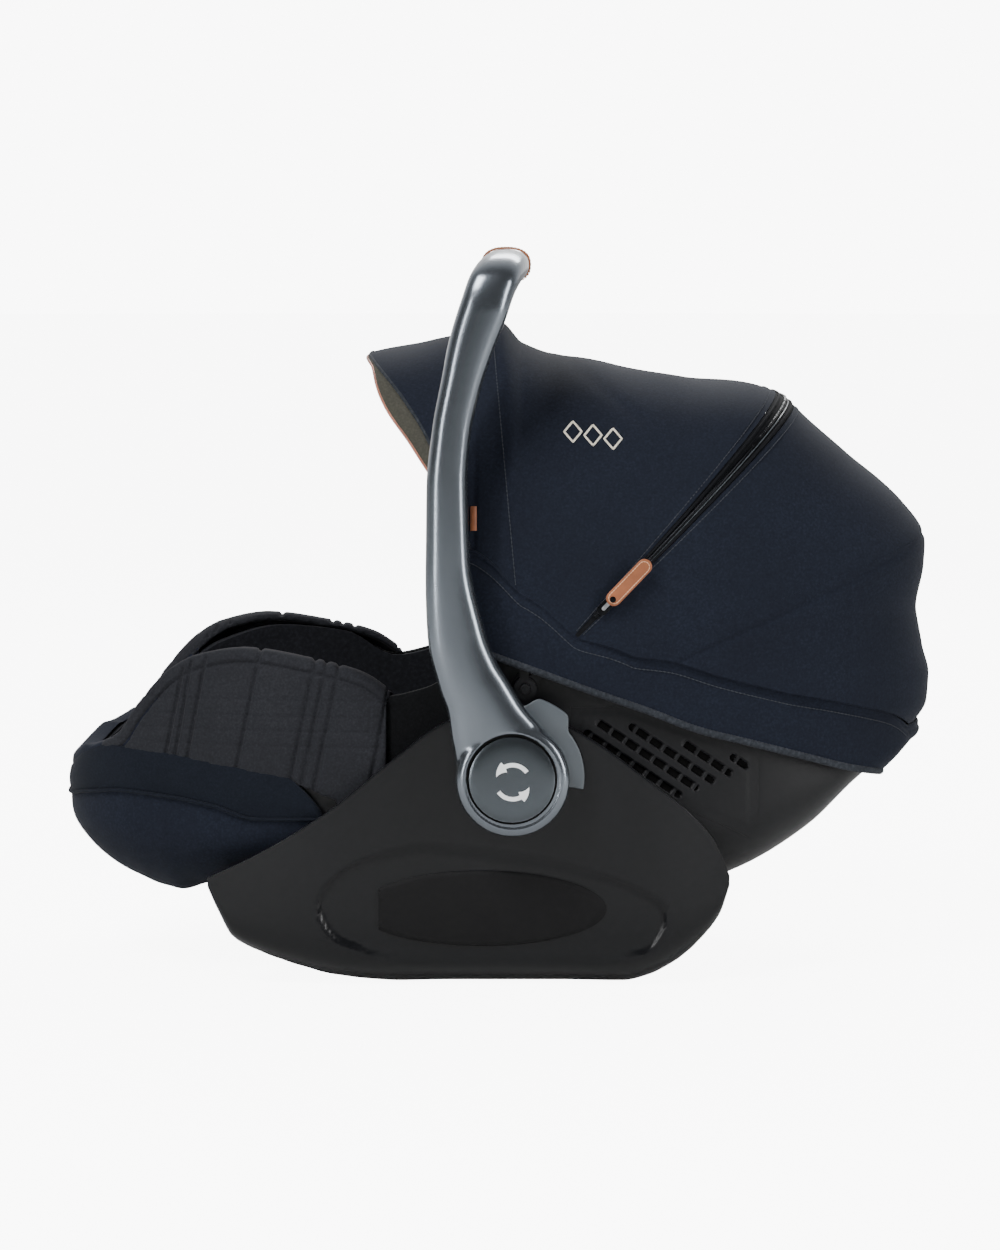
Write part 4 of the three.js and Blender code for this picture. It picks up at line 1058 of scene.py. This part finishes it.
def canopy_grid(start, stop, nu, nv, inset=0.0, relief=True, seam=None):
    """A grid of the canopy from one angle to another, either of which may change along the arc."""
    u = np.linspace(0, 1, nu)[:, None]
    arc = np.linspace(-1, 1, nv)[None]
    degrees = start + (stop - start) * u
    p = canopy_point(degrees, arc, inset, seam=seam)
    if relief:
        centre = np.array([PIVOT[0], 0, PIVOT[1]])
        inward = centre - p
        inward[..., 1] *= 2.2
        inward /= np.linalg.norm(inward, axis=-1, keepdims=True)
        p = p + inward * panel_relief(p)[..., None]
    return p


def canopy_panel(name, start, stop, size, replaced, inset=0.0):
    outer, inner = (canopy_grid(start, stop, *size, inset + depth) for depth in (0.0, FABRIC))
    obj = slab(name, outer, inner, NAVY, INNER, sharp=60)
    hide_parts(replaced)
    return obj


hem = hem_at(np.linspace(-1, 1, 260))[None]
back = canopy_panel("canopy_back", BACK_START, REAR_ANGLE + LAP, (60, 240),
                    "back_panel")
rear = canopy_panel("canopy_rear", REAR_ANGLE - LAP, MID_SPAN[1] - 0.1, (60, 240),
                    "rear_panel", inset=0.12)
front = canopy_panel("canopy_front", FRONT_SPAN[0] + 0.1, hem, (150, 260),
                     "front_panel")
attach(back, "seat")
blend_rear(rear)
blend_front(front)


def on_side(x, z, side, lift=0.0):
    """The place on the canopy's side, seen from that side at (x, z)."""
    x, z = np.broadcast_arrays(np.asarray(x, float), np.asarray(z, float))
    degrees = np.degrees(np.arctan2(z - PIVOT[1], x - PIVOT[0]))
    target = np.hypot(x - PIVOT[0], z - PIVOT[1])
    low, high = np.zeros(x.shape), np.ones(x.shape)
    for _ in range(26):
        middle = (low + high) / 2
        far = distance_from_pivot(canopy_point(degrees, middle, -lift, 0.0)) > target
        low, high = np.where(far, middle, low), np.where(far, high, middle)
    p = canopy_point(degrees, low, -lift, 0.0)
    return mirror(np.stack([p[..., 0], -np.abs(p[..., 1]), p[..., 2]], -1), side)


# Zip: woven tape, its two stitched welts, the coil between them, the slider and the leather puller.
TAPE_END = 80.0


def zip_line(offset, inset, count):
    """A path along the zip, an angle in degrees beside its middle."""
    return canopy_point(np.full(count, ZIP_ANGLE + offset), np.linspace(-1, 1, count), inset, seam=TAPE_END)


tape_faces = [canopy_grid(ZIP_ANGLE - ZIP_HALF, ZIP_ANGLE + ZIP_HALF, 8, 260, inset, False, TAPE_END)
              for inset in (0.3, FABRIC - 0.2)]
tape = slab("zip_tape_cloth", *tape_faces, TAPE)
coil = tube("zip_coil", zip_line(0, -0.2, 700), 1.5, BLACK_METAL, sides=8, ripple=0.16, pitch=2.2)
finish_piece(coil, "canopy_mid", "webbing")
for label, offset in (("rear", -1.15), ("front", 1.15)):
    welt = tube("zip_welt_" + label, zip_line(offset, -0.3, 260), 1.1, TAPE, sides=8)
    finish_piece(welt, "canopy_mid", "webbing")
line = tube("zip_reflective_line", zip_line(-0.55, -0.1, 260), 0.5, GREY, sides=6)
finish_piece(line, "canopy_mid", "grey_plastic")
finish_piece(tape, "canopy_mid", "webbing", "zip_tape")

for name, side in SIDES:
    # The zip's foot: the sewn end of the tape, between the skirt and the slider's lowest place.
    seam = float(seam_radius(ZIP_ANGLE)) + 1
    turn = np.radians(np.linspace(ZIP_ANGLE - ZIP_HALF, ZIP_ANGLE + ZIP_HALF, 6)[:, None])
    radius = np.linspace(seam, TAPE_END + 1.5, 30)[None]
    x, z = PIVOT[0] + radius * np.cos(turn), PIVOT[1] + radius * np.sin(turn)
    foot = slab("zip_foot_" + name, on_side(x, z, side, -0.4), on_side(x, z, side, -2.2), TAPE)
    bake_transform(foot)


def zip_frame(along, across, out):
    """A place on the left side: along the zip from the pivot, across it, and out from the middle plane."""
    turn = math.radians(ZIP_ANGLE)
    x = PIVOT[0] + along * math.cos(turn) - across * math.sin(turn)
    z = PIVOT[1] + along * math.sin(turn) + across * math.cos(turn)
    return stack(x, -out, z)


def capsule(start, stop, half, steps=14):
    """The outline of a bar with round ends, as (along, across)."""
    a = np.linspace(-math.pi / 2, math.pi / 2, steps)
    head = np.stack([stop - half + half * np.cos(a), half * np.sin(a)], 1)
    tail = np.stack([start + half - half * np.cos(a), -half * np.sin(a)], 1)
    return np.concatenate([head, tail])


def zip_plate(name, outline, near, far, material_used, crown=0.0):
    """A rounded plate beside the zip, in rings from its back face to its front."""
    middle = outline.mean(0)
    rings = []
    for out, share in ((near, 0.55), (near, 0.93), (near + 0.35, 1.0), (far - 0.45, 1.0), (far - 0.12, 0.95),
                       (far, 0.86), (far + crown, 0.45)):
        p = middle + (outline - middle) * np.array([1 - (1 - share) * 0.35, share])
        rings.append(zip_frame(p[:, 0], p[:, 1], out))
    return loft(name, np.array(rings), material_used, sharp=60)


W = CANOPY_HALF_WIDTH
slider = zip_plate("slider", capsule(84, 99, 4.5), W + 0.4, W + 3.2, BLACK_METAL)
bridge = zip_plate("slider_bridge", capsule(88, 100, 1.6), W + 2.9, W + 3.7, STEEL)
finish_piece(slider, "zip_runner", "steel", "zip_slider")
finish_piece(bridge, "zip_runner", "steel")
puller = zip_plate("puller", capsule(95, 142, 6), W + 4.0, W + 6.2, TAN, crown=0.1)
edge = capsule(97.2, 139.8, 4.3, 24)
stitch_path = resample(np.concatenate([zip_frame(edge[:, 0], edge[:, 1], W + 6.25),
                                       zip_frame(edge[:1, 0], edge[:1, 1], W + 6.25)]), 0.55)
stitch = tube("puller_stitching", stitch_path, 0.34, TAN_EDGE, sides=6, ripple=0.45, pitch=2.4)
rivet = zip_plate("puller_rivet", capsule(97.5, 102.5, 2.5, 16), W + 5.8, W + 6.7, BLACK_METAL)
finish_piece(puller, "zip_pull", "tan_leather", "zip_puller")
finish_piece(stitch, "zip_pull", "tan_leather")
finish_piece(rivet, "zip_pull", "steel")

# Stitched motif on both sides of the front panel: three small diamonds in cream thread.
MOTIF = (74, 440)
for name, side in SIDES:
    for i, across in enumerate((-16, 0, 16)):
        corners = np.array([(0, 8), (7, 0), (0, -8), (-7, 0), (0, 8)], float)
        along = np.linspace(0, 1, 12, endpoint=False)[:, None]
        outline = np.concatenate([a + (b - a) * along for a, b in zip(corners, corners[1:])])
        x, z = MOTIF[0] + across + outline[:, 0], MOTIF[1] - 0.18 * across + outline[:, 1]
        path = on_side(x, z, side, 0.3)
        _, normal, across_v = frames_along(path)
        angle = full_turn(8)
        round_it = (np.cos(angle)[None, :, None] * normal[:, None]
                    + np.sin(angle)[None, :, None] * across_v[:, None])
        rings = path[:, None] + 0.85 * round_it
        diamond = loft("stitched_diamond_%s_%d" % (name, i + 1), rings, CREAM, closed=True)
        blend_front(diamond)
    # Leather loop sewn in the hem fold, half under the handle's arm.
    place = on_side(np.full(24, -21.0), np.linspace(366, 385, 24), side, 0.8)
    tab = tube("hem_loop_" + name, place, 2.6, TAN, sides=12, flat=0.45)
    blend_front(tab)

# Visor: the lining that bulges in front of the hem, its leather piping and the bound edge behind it.
arc = np.linspace(-0.985, 0.985, 260)
reach = 0.5 + 3.4 * np.sin(math.pi * np.clip((np.abs(arc) - 0.35) / 0.65, 0, 1)) ** 2
hem_line = hem_at(arc)
u = np.linspace(0, 1, 16)[:, None]
bulge = 0.8 * np.sin(math.pi * u)
lining_outer = canopy_point(hem_line + 0.1 + u * reach, arc[None], 1.2 - bulge)
lining_inner = canopy_point(hem_line + 0.1 + u * reach, arc[None], 3.4 - bulge)
visor = slab("visor_lining_cloth", lining_outer, lining_inner, LINING, sharp=60)
piping = tube("visor_piping", resample(canopy_point(hem_line + reach + 0.25, arc, 1.8), 2.5), 1.2,
              PIPING, sides=10)
binding = tube("visor_binding", resample(canopy_point(hem_line + 0.1, arc, 0.7), 2.5), 1.3, BINDING,
               sides=10)
finish_piece(piping, "canopy_front", "tan_leather")
finish_piece(binding, "canopy_front", "lining_fabric")
finish_piece(visor, "canopy_front", "lining_fabric", "visor_lining")

# Stitched seams on both sides of the tape and in front of the ridge bow.
for label, degrees, blend_on in (("rear_of_zip", ZIP_ANGLE - 2.6, blend_rear),
                                 ("front_of_zip", ZIP_ANGLE + 2.6, blend_front),
                                 ("front_of_ridge", RIDGE_ANGLE + 1.3, blend_front)):
    path = resample(canopy_point(np.full(400, degrees), np.linspace(-0.99, 0.99, 400), -0.1), 0.8)
    seam_stitch = tube("stitching_" + label, path, 0.42, THREAD, sides=6, ripple=0.5, pitch=3.4)
    blend_on(seam_stitch)


# ---------- skirt ----------
SKIRT_FRONT, SKIRT_SPLIT = -24, 112
# At the head end the skirt's top leans in under the canopy.
HEAD_END, HEAD_TUCK = (290, 345), 4.5


def skirt_part(name, begin, end, steps):
    """A length of the skirt from one turn of the tub to another, with its bound hem, seam and stitching."""
    turn = np.linspace(begin, end, steps)[:, None]
    v = np.linspace(0, 1, 34)[None]
    x = tub_wall(turn, -14.5)[0]
    head = smoothstep(x, *HEAD_END)
    low, high = skirt_low(x), skirt_high(x) + 0.6 + 2 * head
    z = low + (high - low) * v
    tuck = HEAD_TUCK * head * v ** 2
    seam_dip = np.exp(-((z - (high - 5)) / 1.6) ** 2)
    drape = 0.7 * np.sin(0.045 * x + 0.02 * z) * np.sin(math.pi * v) + 0.9 * np.sin(math.pi * v) ** 0.8
    wide_turn = turn + 0 * z
    outer = tub_at(wide_turn, z, -13.9 - drape + 0.9 * seam_dip + tuck)
    inner = tub_at(wide_turn, z, -12.0 + tuck)
    skirt = slab(name, outer, inner, NAVY, INNER, sharp=60)
    edge_turn = np.linspace(begin, end, 2 * steps)
    edge_x = tub_wall(edge_turn, -14.5)[0]
    edge_tuck = HEAD_TUCK * smoothstep(edge_x, *HEAD_END)
    high = skirt_high(edge_x)
    rows = [("binding", skirt_low(edge_x) + 1.2, -13.6, 2.9, BINDING, "lining_fabric",
             dict(sides=14, flat=0.8, ripple=0.06, pitch=3.0), 0.75),
            ("stitching", high - 9.5, -14.9 + 0.6 * edge_tuck, 0.4, THREAD, "navy_fabric",
             dict(sides=6, ripple=0.5, pitch=3.4), 0.8),
            ("seam", high + 0.4, -13.2 + edge_tuck, 1.7, NAVY, "navy_fabric", dict(sides=10), 2.0)]
    trims = []
    for trim, height, depth, radius, material, slot, settings, step in rows:
        path = resample(tub_at(edge_turn, height, depth), step)
        trims.append(tube(name + "_" + trim, path, radius, material, **settings))
        finish_piece(trims[-1], "seat", slot)
    finish_piece(skirt, "seat", "navy_fabric", "head_skirt")
    return [skirt] + trims


front_turn, split_turn = turn_at(SKIRT_FRONT), turn_at(SKIRT_SPLIT)
skirt_part("skirt", split_turn, -split_turn, 340)
for name, side in SIDES:
    pieces = skirt_part("skirt_front_" + name, side * abs(front_turn), side * abs(split_turn), 80)
    for piece in pieces:
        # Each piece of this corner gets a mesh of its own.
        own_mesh(piece)


# ---------- handle ----------
ARM_MIDDLE = (HANDLE_IN + HANDLE_OUT) / 2
GRIP_Z, GRIP_HALF = 574.5, 74
CROSSBAR_HALF = ARM_MIDDLE - 75
HANDLE_THICKNESS = 25.0
# Half of the handle's centre line, from the hub over the corner to the middle: x, how far inside the
# arm's middle, z, width.
ARM_STATIONS = [(9, 0, 176, 87), (7, 0, 192, 86), (1, 0, 204, 79), (-4.5, 0, 215, 71),
                (-9.8, 0, 225, 63.5), (-18, 0, 240, 55.5), (-25, 0, 254, 50), (-34, 0, 283, 46),
                (-41, 0, 345, 35), (-41.5, 0, 402, 32.5), (-38, 0, 445, 31), (-31, 0, 480, 32),
                (-22, 0, 514, 36), (-13, 0, 540, 38), (-6, 5, 560, 38), (0, 20, 570, 38),
                (4, 44, 574, 37)]
HALF_HANDLE = np.array([(x, ARM_MIDDLE - inside, z, width) for x, inside, z, width in ARM_STATIONS]
                       + [(5, y, GRIP_Z, 36) for y in (CROSSBAR_HALF, 100, 50, 0)])


def handle_path():
    """Centre line and widths, splined through the stations with even spacing in arc length."""
    steps = np.linalg.norm(np.diff(HALF_HANDLE[:, :3], axis=0), axis=1)
    length = np.concatenate([[0], np.cumsum(steps)])
    at = np.linspace(0, length[-1], 16 * len(HALF_HANDLE))
    return np.stack([curve(np.stack([length, column], 1))(at) for column in HALF_HANDLE.T], 1)


def handle_rings(path, side, grow=0.0, sides=56):
    centre = path[:, :3] * np.array([1, side, 1])
    tangent = np.gradient(centre, axis=0)
    tangent[:, 0] *= smoothstep(centre[:, 2], 225, 265)  # level sections where the arm widens into the hub
    tangent /= np.linalg.norm(tangent, axis=1, keepdims=True)
    wide = np.array([1.0, 0, 0]) - tangent * tangent[:, :1]
    wide /= np.linalg.norm(wide, axis=1, keepdims=True)
    thin = np.cross(tangent, wide)
    angle = full_turn(sides)
    k = roundness(angle, 2.5)
    a = (path[:, 3:4] / 2 + grow) * k * np.cos(angle)
    b = (HANDLE_THICKNESS / 2 + grow) * k * np.sin(angle)
    return centre[:, None] + a[..., None] * wide[:, None] + b[..., None] * thin[:, None]


def lathe(name, profile, side, material):
    """A turned solid about the hub's axis: profile is (radius, distance from the middle plane)."""
    angle = full_turn(120)[None]
    radius, out = np.array(profile, float).T[:, :, None]
    rings = stack(HUB[0] + radius * np.cos(angle), side * out, HUB[1] + radius * np.sin(angle))
    return loft(name, rings, material, sharp=50)


def joined(name, first_piece, second_piece, voxel, smooth, material_used):
    """Two overlapping solids melted into one skin."""
    mesh = bmesh.new()
    mesh.from_mesh(first_piece.data)
    mesh.from_mesh(second_piece.data)
    mesh.to_mesh(first_piece.data)
    mesh.free()
    bpy.data.objects.remove(second_piece)
    first_piece.name = name
    add_modifier(first_piece, "remesh", "REMESH", mode="VOXEL", voxel_size=voxel * MM)
    add_modifier(first_piece, "smooth", "SMOOTH", factor=0.5, iterations=smooth)
    apply_modifiers(first_piece)
    smooth_faces(first_piece.data)
    first_piece.data.materials.clear()
    first_piece.data.materials.append(material_used)
    return first_piece


def handle_arm(name, side):
    path = handle_path()
    path = path[path[:, 1] >= CROSSBAR_HALF + 0.4]
    arm = loft("arm", handle_rings(path, side), GUNMETAL)
    hub_profile = [(9.6, HANDLE_IN + 9), (9.6, HANDLE_IN + 0.3), (40, HANDLE_IN + 0.2),
                   (44.6, HANDLE_IN + 3), (45.2, HANDLE_IN + 10), (45.2, HANDLE_OUT - 8),
                   (44.2, HANDLE_OUT - 3.5), (41.5, HANDLE_OUT - 1.2), (37, HANDLE_OUT - 0.1),
                   (20, HANDLE_OUT)]
    hub = lathe("hub", hub_profile, side, GUNMETAL)
    obj = joined("handle_arm_skin_" + name, arm, hub, 1.5, 10, GUNMETAL)
    p = coordinates(obj)
    # A fine groove in the outer face, at the cap's edge.
    radius = np.hypot(p[:, 0] - HUB[0], p[:, 2] - HUB[1])
    groove = np.exp(-((radius - 36.2) / 1.1) ** 2) * (side * p[:, 1] > HANDLE_OUT - 4)
    p[:, 1] -= side * 1.6 * groove
    set_coordinates(obj, p)
    finish_piece(obj, "handle", "gunmetal", "handle_arm_" + name)


CAP_RADIUS = 33.5


def cap_outline(angle):
    """The cap is a little longer towards the arm than a circle."""
    return 1 + 0.05 * np.cos(angle - math.radians(115))


def cap_dome(share):
    """How far the cap stands out, at a share of its radius."""
    return 2.6 * np.sqrt(1 - (0.985 * share) ** 6) * (0.82 + 0.18 * (1 - share ** 2))


def hub_cap(name, side):
    """The domed cap on the hub, and a near-black ring round its edge: painted shadow in the gap between cap
    and hub.
    """
    share = np.linspace(0, 1, 26)[:, None]
    angle = full_turn(140)[None]
    radius = CAP_RADIUS * share * cap_outline(angle)
    x, z = HUB[0] + radius * np.cos(angle), HUB[1] + radius * np.sin(angle)
    outer = stack(x, side * (HANDLE_OUT + 0.25 + cap_dome(share)), z)
    inner = stack(x, side * (HANDLE_OUT + 0.1), z)
    obj = dish("hub_cap_face_" + name, outer, inner, CAP_PAINT, sharp=60)
    finish_piece(obj, "handle", "gunmetal", "hub_cap_" + name)
    edge = (CAP_RADIUS + 1.3) * cap_outline(angle[0])
    x, z = HUB[0] + edge * np.cos(angle[0]), HUB[1] + edge * np.sin(angle[0])
    ring = stack(x, side * (HANDLE_OUT - 0.25), z)
    # A near-black ring at the cap's edge: painted shadow where the cap meets the hub.
    shadow_ring = tube("hub_cap_shadow_ring_" + name, np.concatenate([ring, ring[:1]]), 0.9, PAINTED_BLACK_SHADE, sides=8)
    finish_piece(shadow_ring, "handle", "plastic")


def rotate_mark(name, side):
    """A generic mark for a part that turns both ways: two curved arrows."""
    def face(r, a, lift):
        dome = cap_dome(r / CAP_RADIUS)
        y = side * (HANDLE_OUT + 0.25 + dome + lift)
        return stack(HUB[0] + r * np.cos(a), y, HUB[1] + r * np.sin(a))

    for i, start in enumerate((35, 215)):
        t = np.linspace(0, 1, 40)
        half = np.where(t < 0.66, 1.7, 4.6 * (1 - t) / 0.34)
        a = np.radians(start + 128 * t)[:, None]
        across = np.linspace(-1, 1, 7)[None]
        radius = 13.5 + half[:, None] * across
        obj = slab("turn_mark_%s_%d" % (name, i + 1), face(radius, a, 0.28), face(radius, a, 0.02), WHITE)
        finish_piece(obj, "handle", "grey_plastic")


def crossbar():
    path = handle_path()
    half = path[path[:, 1] <= CROSSBAR_HALF]
    half = np.concatenate([[[5, CROSSBAR_HALF - 0.2, GRIP_Z, 36]], half])
    other = half[::-1][1:].copy()
    other[:, 1] *= -1
    rings = handle_rings(np.concatenate([half, other]), -1)
    obj = loft("crossbar_skin", rings, GUNMETAL, sharp=60)
    finish_piece(obj, "handle", "gunmetal", "handle_crossbar")


def grip():
    """The leather cover on the crossbar, with a stitched seam at each end."""
    y = np.linspace(-GRIP_HALF, GRIP_HALF, 60)
    path = np.stack([np.full(60, 5.0), y, np.full(60, GRIP_Z), np.full(60, 36.0)], 1)
    swell = 1.7 + 0.5 * np.cos(y / GRIP_HALF * math.pi / 2)
    ends = np.clip((GRIP_HALF - np.abs(y)) / 2.5, 0, 1) ** 0.5
    outer = handle_rings(path, 1, sides=72)
    middle = path[:, None, :3]
    out = outer - middle
    out /= np.linalg.norm(out, axis=-1, keepdims=True)
    outer = outer + out * (0.6 + (swell - 0.6) * ends)[:, None, None]
    inner = handle_rings(path, 1, 0.25, sides=72)
    rings = np.concatenate([outer, inner[::-1]])
    obj = loft("grip_leather", rings, TAN, sharp=60, closed=True)
    finish_piece(obj, "handle", "tan_leather", "grip_cover")
    for label, y0 in (("near", -71.5), ("far", 71.5)):
        stations = np.array([[5, y0, GRIP_Z, 36], [5, y0 + 0.5, GRIP_Z, 36]])
        ring = handle_rings(stations, 1, 1.95, sides=72)[0]
        seam_path = resample(np.concatenate([ring, ring[:1]]), 0.6)
        stitching = tube("grip_stitching_" + label, seam_path, 0.4, TAN_EDGE, sides=6, ripple=0.5,
                         pitch=2.8)
        finish_piece(stitching, "handle", "tan_leather")


def release_tab(name, side):
    """The grey button inside the hub, with its thumb lobe above the hub's edge."""
    a = np.linspace(-10, 85, 70)
    outer = 57 + 9 * smoothstep(a, 38, 50) * (1 - smoothstep(a, 70, 82))
    t = np.radians(a)
    rim = np.stack([HUB[0] + outer * np.cos(t), HUB[1] + outer * np.sin(t)], 1)
    root = np.stack([HUB[0] + 24 * np.cos(t[::-3]), HUB[1] + 24 * np.sin(t[::-3])], 1)
    obj = plate("release_tab_" + name, np.concatenate([rim, root]), 189, 192.4, side, GREY, bevel=1.1)
    finish_piece(obj, "release_" + name, "grey_plastic", "release_button_" + name)


for name, side in SIDES:
    handle_arm(name, side)
    hub_cap(name, side)
    rotate_mark(name, side)
    release_tab(name, side)
crossbar()
grip()


# ---------- inside the tub ----------
def copy_of(node, name, material_used, shrink=0.0):
    """A new piece that starts from a CAD node's solid."""
    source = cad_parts[node]
    obj = add_object(name, source.data.copy())
    obj.data.transform(source.matrix_world)
    obj.data.materials.clear()
    obj.data.materials.append(material_used)
    if shrink:
        bm = bmesh.new()
        bm.from_mesh(obj.data)
        bmesh.ops.remove_doubles(bm, verts=bm.verts, dist=0.00005)
        for v in bm.verts:
            v.co -= v.normal * shrink * MM
        bm.to_mesh(obj.data)
        bm.free()
    return obj


def channel_pad(node, name, body, lines, voxel, cap, depth, shrink=0.6):
    """A stuffed pad from its CAD solid, with sewn channels pressed in its upper side."""
    obj = copy_of(node, name, QUILT, shrink)
    inflated(obj, voxel, cap)
    p = coordinates(obj)
    out = normals(obj)
    up = smoothstep(out[:, 2], 0.1, 0.5)
    dip = np.zeros(len(p))
    for start, stop in lines:
        a, b = np.array(start, float), np.array(stop, float)
        t = np.clip(((p[:, :2] - a) @ (b - a)) / ((b - a) @ (b - a)), 0, 1)
        far = np.linalg.norm(p[:, :2] - a - t[:, None] * (b - a), axis=1)
        dip = np.maximum(dip, np.exp(-(far / 1.9) ** 2))
    set_coordinates(obj, p - out * (depth * dip * up)[:, None])
    smooth_faces(obj.data)
    finish_piece(obj, body, "quilt_fabric", node)
    return obj


insert_lines = [((x, -90), (x, 90)) for x in (-110, -74, -24, 26, 76)]
insert_lines += [((-130, y), (110, y)) for y in (-58, 58)]
channel_pad("body_insert", "insert_cushion", "seat", insert_lines, 4.0, 3.0, 2.2, shrink=2.0)
head_lines = [((x, -60), (x, 60)) for x in (150, 170, 190)]
channel_pad("headrest_pad", "headrest_cushion", "headrest", head_lines, 3.2, 3.0, 1.6, shrink=1.5)
channel_pad("crotch_pad", "crotch_cushion", "seat", [((-140, 0), (-54, 0))], 2.2, 1.2, 0.8, shrink=0.8)
for name, side in SIDES:
    pad_lines = [((4, side * (19.5 + k)), (98, side * (37.4 + k))) for k in (-9, 9)]
    channel_pad("shoulder_pad_" + name, "shoulder_cushion_" + name, "seat", pad_lines, 2.2, 1.2, 0.7,
                shrink=0.8)

straps = [("crotch_strap", "crotch_webbing"), ("adjuster_strap", "adjuster_webbing")]
for name, side in SIDES:
    straps += [("shoulder_strap_" + name, "shoulder_webbing_" + name),
               ("lap_strap_" + name, "lap_webbing_" + name)]
for node, piece in straps:
    strap = copy_of(node, piece, STRAP)
    rounded(strap, 0.5, segments=2, angle=50)
    finish_piece(strap, "seat", "webbing", node)

hard = [("buckle_body", "buckle_shell", "seat", HOUSING, "plastic", 1.8),
        ("buckle_button", "buckle_press", "buckle_release", RED, "red_plastic", 1.0),
        ("adjuster_housing", "adjuster_shell", "seat", SHELL, "plastic", 1.5),
        ("adjuster_button", "adjuster_press", "adjuster_release", GREY, "grey_plastic", 1.0)]
for node, piece, body, look, slot_name, width in hard:
    finish_piece(rounded(copy_of(node, piece, look), width), body, slot_name, node)

# ---------- CAD nodes that stay, with their finish ----------
kept = {"steel": (STEEL, ["lock_bar_front", "lock_bar_rear", "pivot_pin_left", "pivot_pin_right",
                          "buckle_tongue_left", "buckle_tongue_right"]),
        "plastic": (SHELL, ["rear_bow", "zip_bow", "front_bow", "canopy_mount_left", "canopy_mount_right"])}
for slot_name, (look, nodes) in kept.items():
    for node in nodes:
        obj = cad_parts[node]
        obj.data.materials.clear()
        obj.data.materials.append(look)
        if not node.startswith(("pivot", "lock", "canopy")):
            add_bevel(obj, 0.5, 2)

# ---------- floor, light and camera ----------
TARGET = Vector((0, 0, 0.273))
DISTANCE, ELEVATION = 3.2, math.radians(5.7)
FLOOR_RADIUS, FLOOR_Z = 30, -0.0005
SEEN_FLOOR, SEEN_SKY = 8.0, 9.0  # how bright the backdrop is to the camera; it lights the object far less

floor_shader = Shader("pale_floor", 0.7, Specular_IOR_Level=0.1, Emission_Color=(1, 1, 1, 1))
seen = floor_shader.add("ShaderNodeLightPath").outputs["Is Camera Ray"]
glow = floor_shader.math("MULTIPLY", seen, SEEN_FLOOR)
floor_shader.link(glow, floor_shader.bsdf.inputs["Emission Strength"])
floor_shader.colour(floor_shader.noise(0.6, 2.0), (0.3, shade("e2e2e1", 0.99)), (0.7, shade("e4e4e3", 1.0)))
floor_angle = full_turn(96)
floor_mesh = bpy.data.meshes.new("floor")
floor_points = [(FLOOR_RADIUS * math.cos(a), FLOOR_RADIUS * math.sin(a), FLOOR_Z) for a in floor_angle]
floor_mesh.from_pydata(floor_points, [], [list(range(len(floor_points)))])
floor_mesh.materials.append(floor_shader.material)
floor = add_object("floor", floor_mesh)

world = bpy.data.worlds.new("studio")
bpy.context.scene.world = world
world.use_nodes = True
# The backdrop looks white, and lights the object softly, more from behind than from the front.
sky = world.node_tree
direction = sky.nodes.new("ShaderNodeTexCoord").outputs["Generated"]
parts = sky.nodes.new("ShaderNodeSeparateXYZ")
fade = sky.nodes.new("ShaderNodeMapRange")
fade.interpolation_type = "SMOOTHSTEP"
for socket, value in (("From Min", -0.2), ("From Max", 0.8), ("To Min", 0.1), ("To Max", 1.5)):
    fade.inputs[socket].default_value = value
sky.links.new(direction, parts.inputs["Vector"])
sky.links.new(parts.outputs["Y"], fade.inputs["Value"])
white = sky.nodes.new("ShaderNodeBackground")
white.inputs["Strength"].default_value = SEEN_SKY
choice = sky.nodes.new("ShaderNodeMixShader")
sky.links.new(fade.outputs["Result"], sky.nodes["Background"].inputs["Strength"])
sky.links.new(sky.nodes.new("ShaderNodeLightPath").outputs["Is Camera Ray"], choice.inputs["Fac"])
sky.links.new(sky.nodes["Background"].outputs["Background"], choice.inputs[1])
sky.links.new(white.outputs["Background"], choice.inputs[2])
sky.links.new(choice.outputs["Shader"], sky.nodes["World Output"].inputs["Surface"])
white.inputs["Color"].default_value = (1, 1, 1, 1)
sky.nodes["Background"].inputs["Color"].default_value = (1, 1, 1, 1)


def softbox(name, place, aim, size, power):
    light = bpy.data.lights.new(name, "AREA")
    light.shape = "RECTANGLE"
    light.size, light.size_y = size
    light.energy = power
    obj = add_object(name, light)
    obj.location = place
    obj.rotation_euler = (Vector(aim) - Vector(place)).to_track_quat("-Z", "Y").to_euler()


softbox("key", (-1.1, -1.5, 2.6), (0, 0, 0.35), (1.0, 1.0), 80)
softbox("strip", (2.1, -1.5, 0.9), (0, 0, 0.3), (0.5, 1.6), 40)
softbox("streak", (-1.7, -2.2, 0.9), (0, 0, 0.4), (0.16, 1.8), 30)
softbox("rim", (0.6, 2.2, 2.4), (0, 0, 0.35), (1.8, 0.8), 70)

camera_data = bpy.data.cameras.new("camera")
camera_data.sensor_fit = "VERTICAL"
camera_data.sensor_height = 36.0
camera_data.lens = 109.7
camera = add_object("camera", camera_data)
camera.location = TARGET + DISTANCE * Vector((0, -math.cos(ELEVATION), math.sin(ELEVATION)))
camera.rotation_euler = (TARGET - camera.location).to_track_quat("-Z", "Y").to_euler()
bpy.context.scene.camera = camera
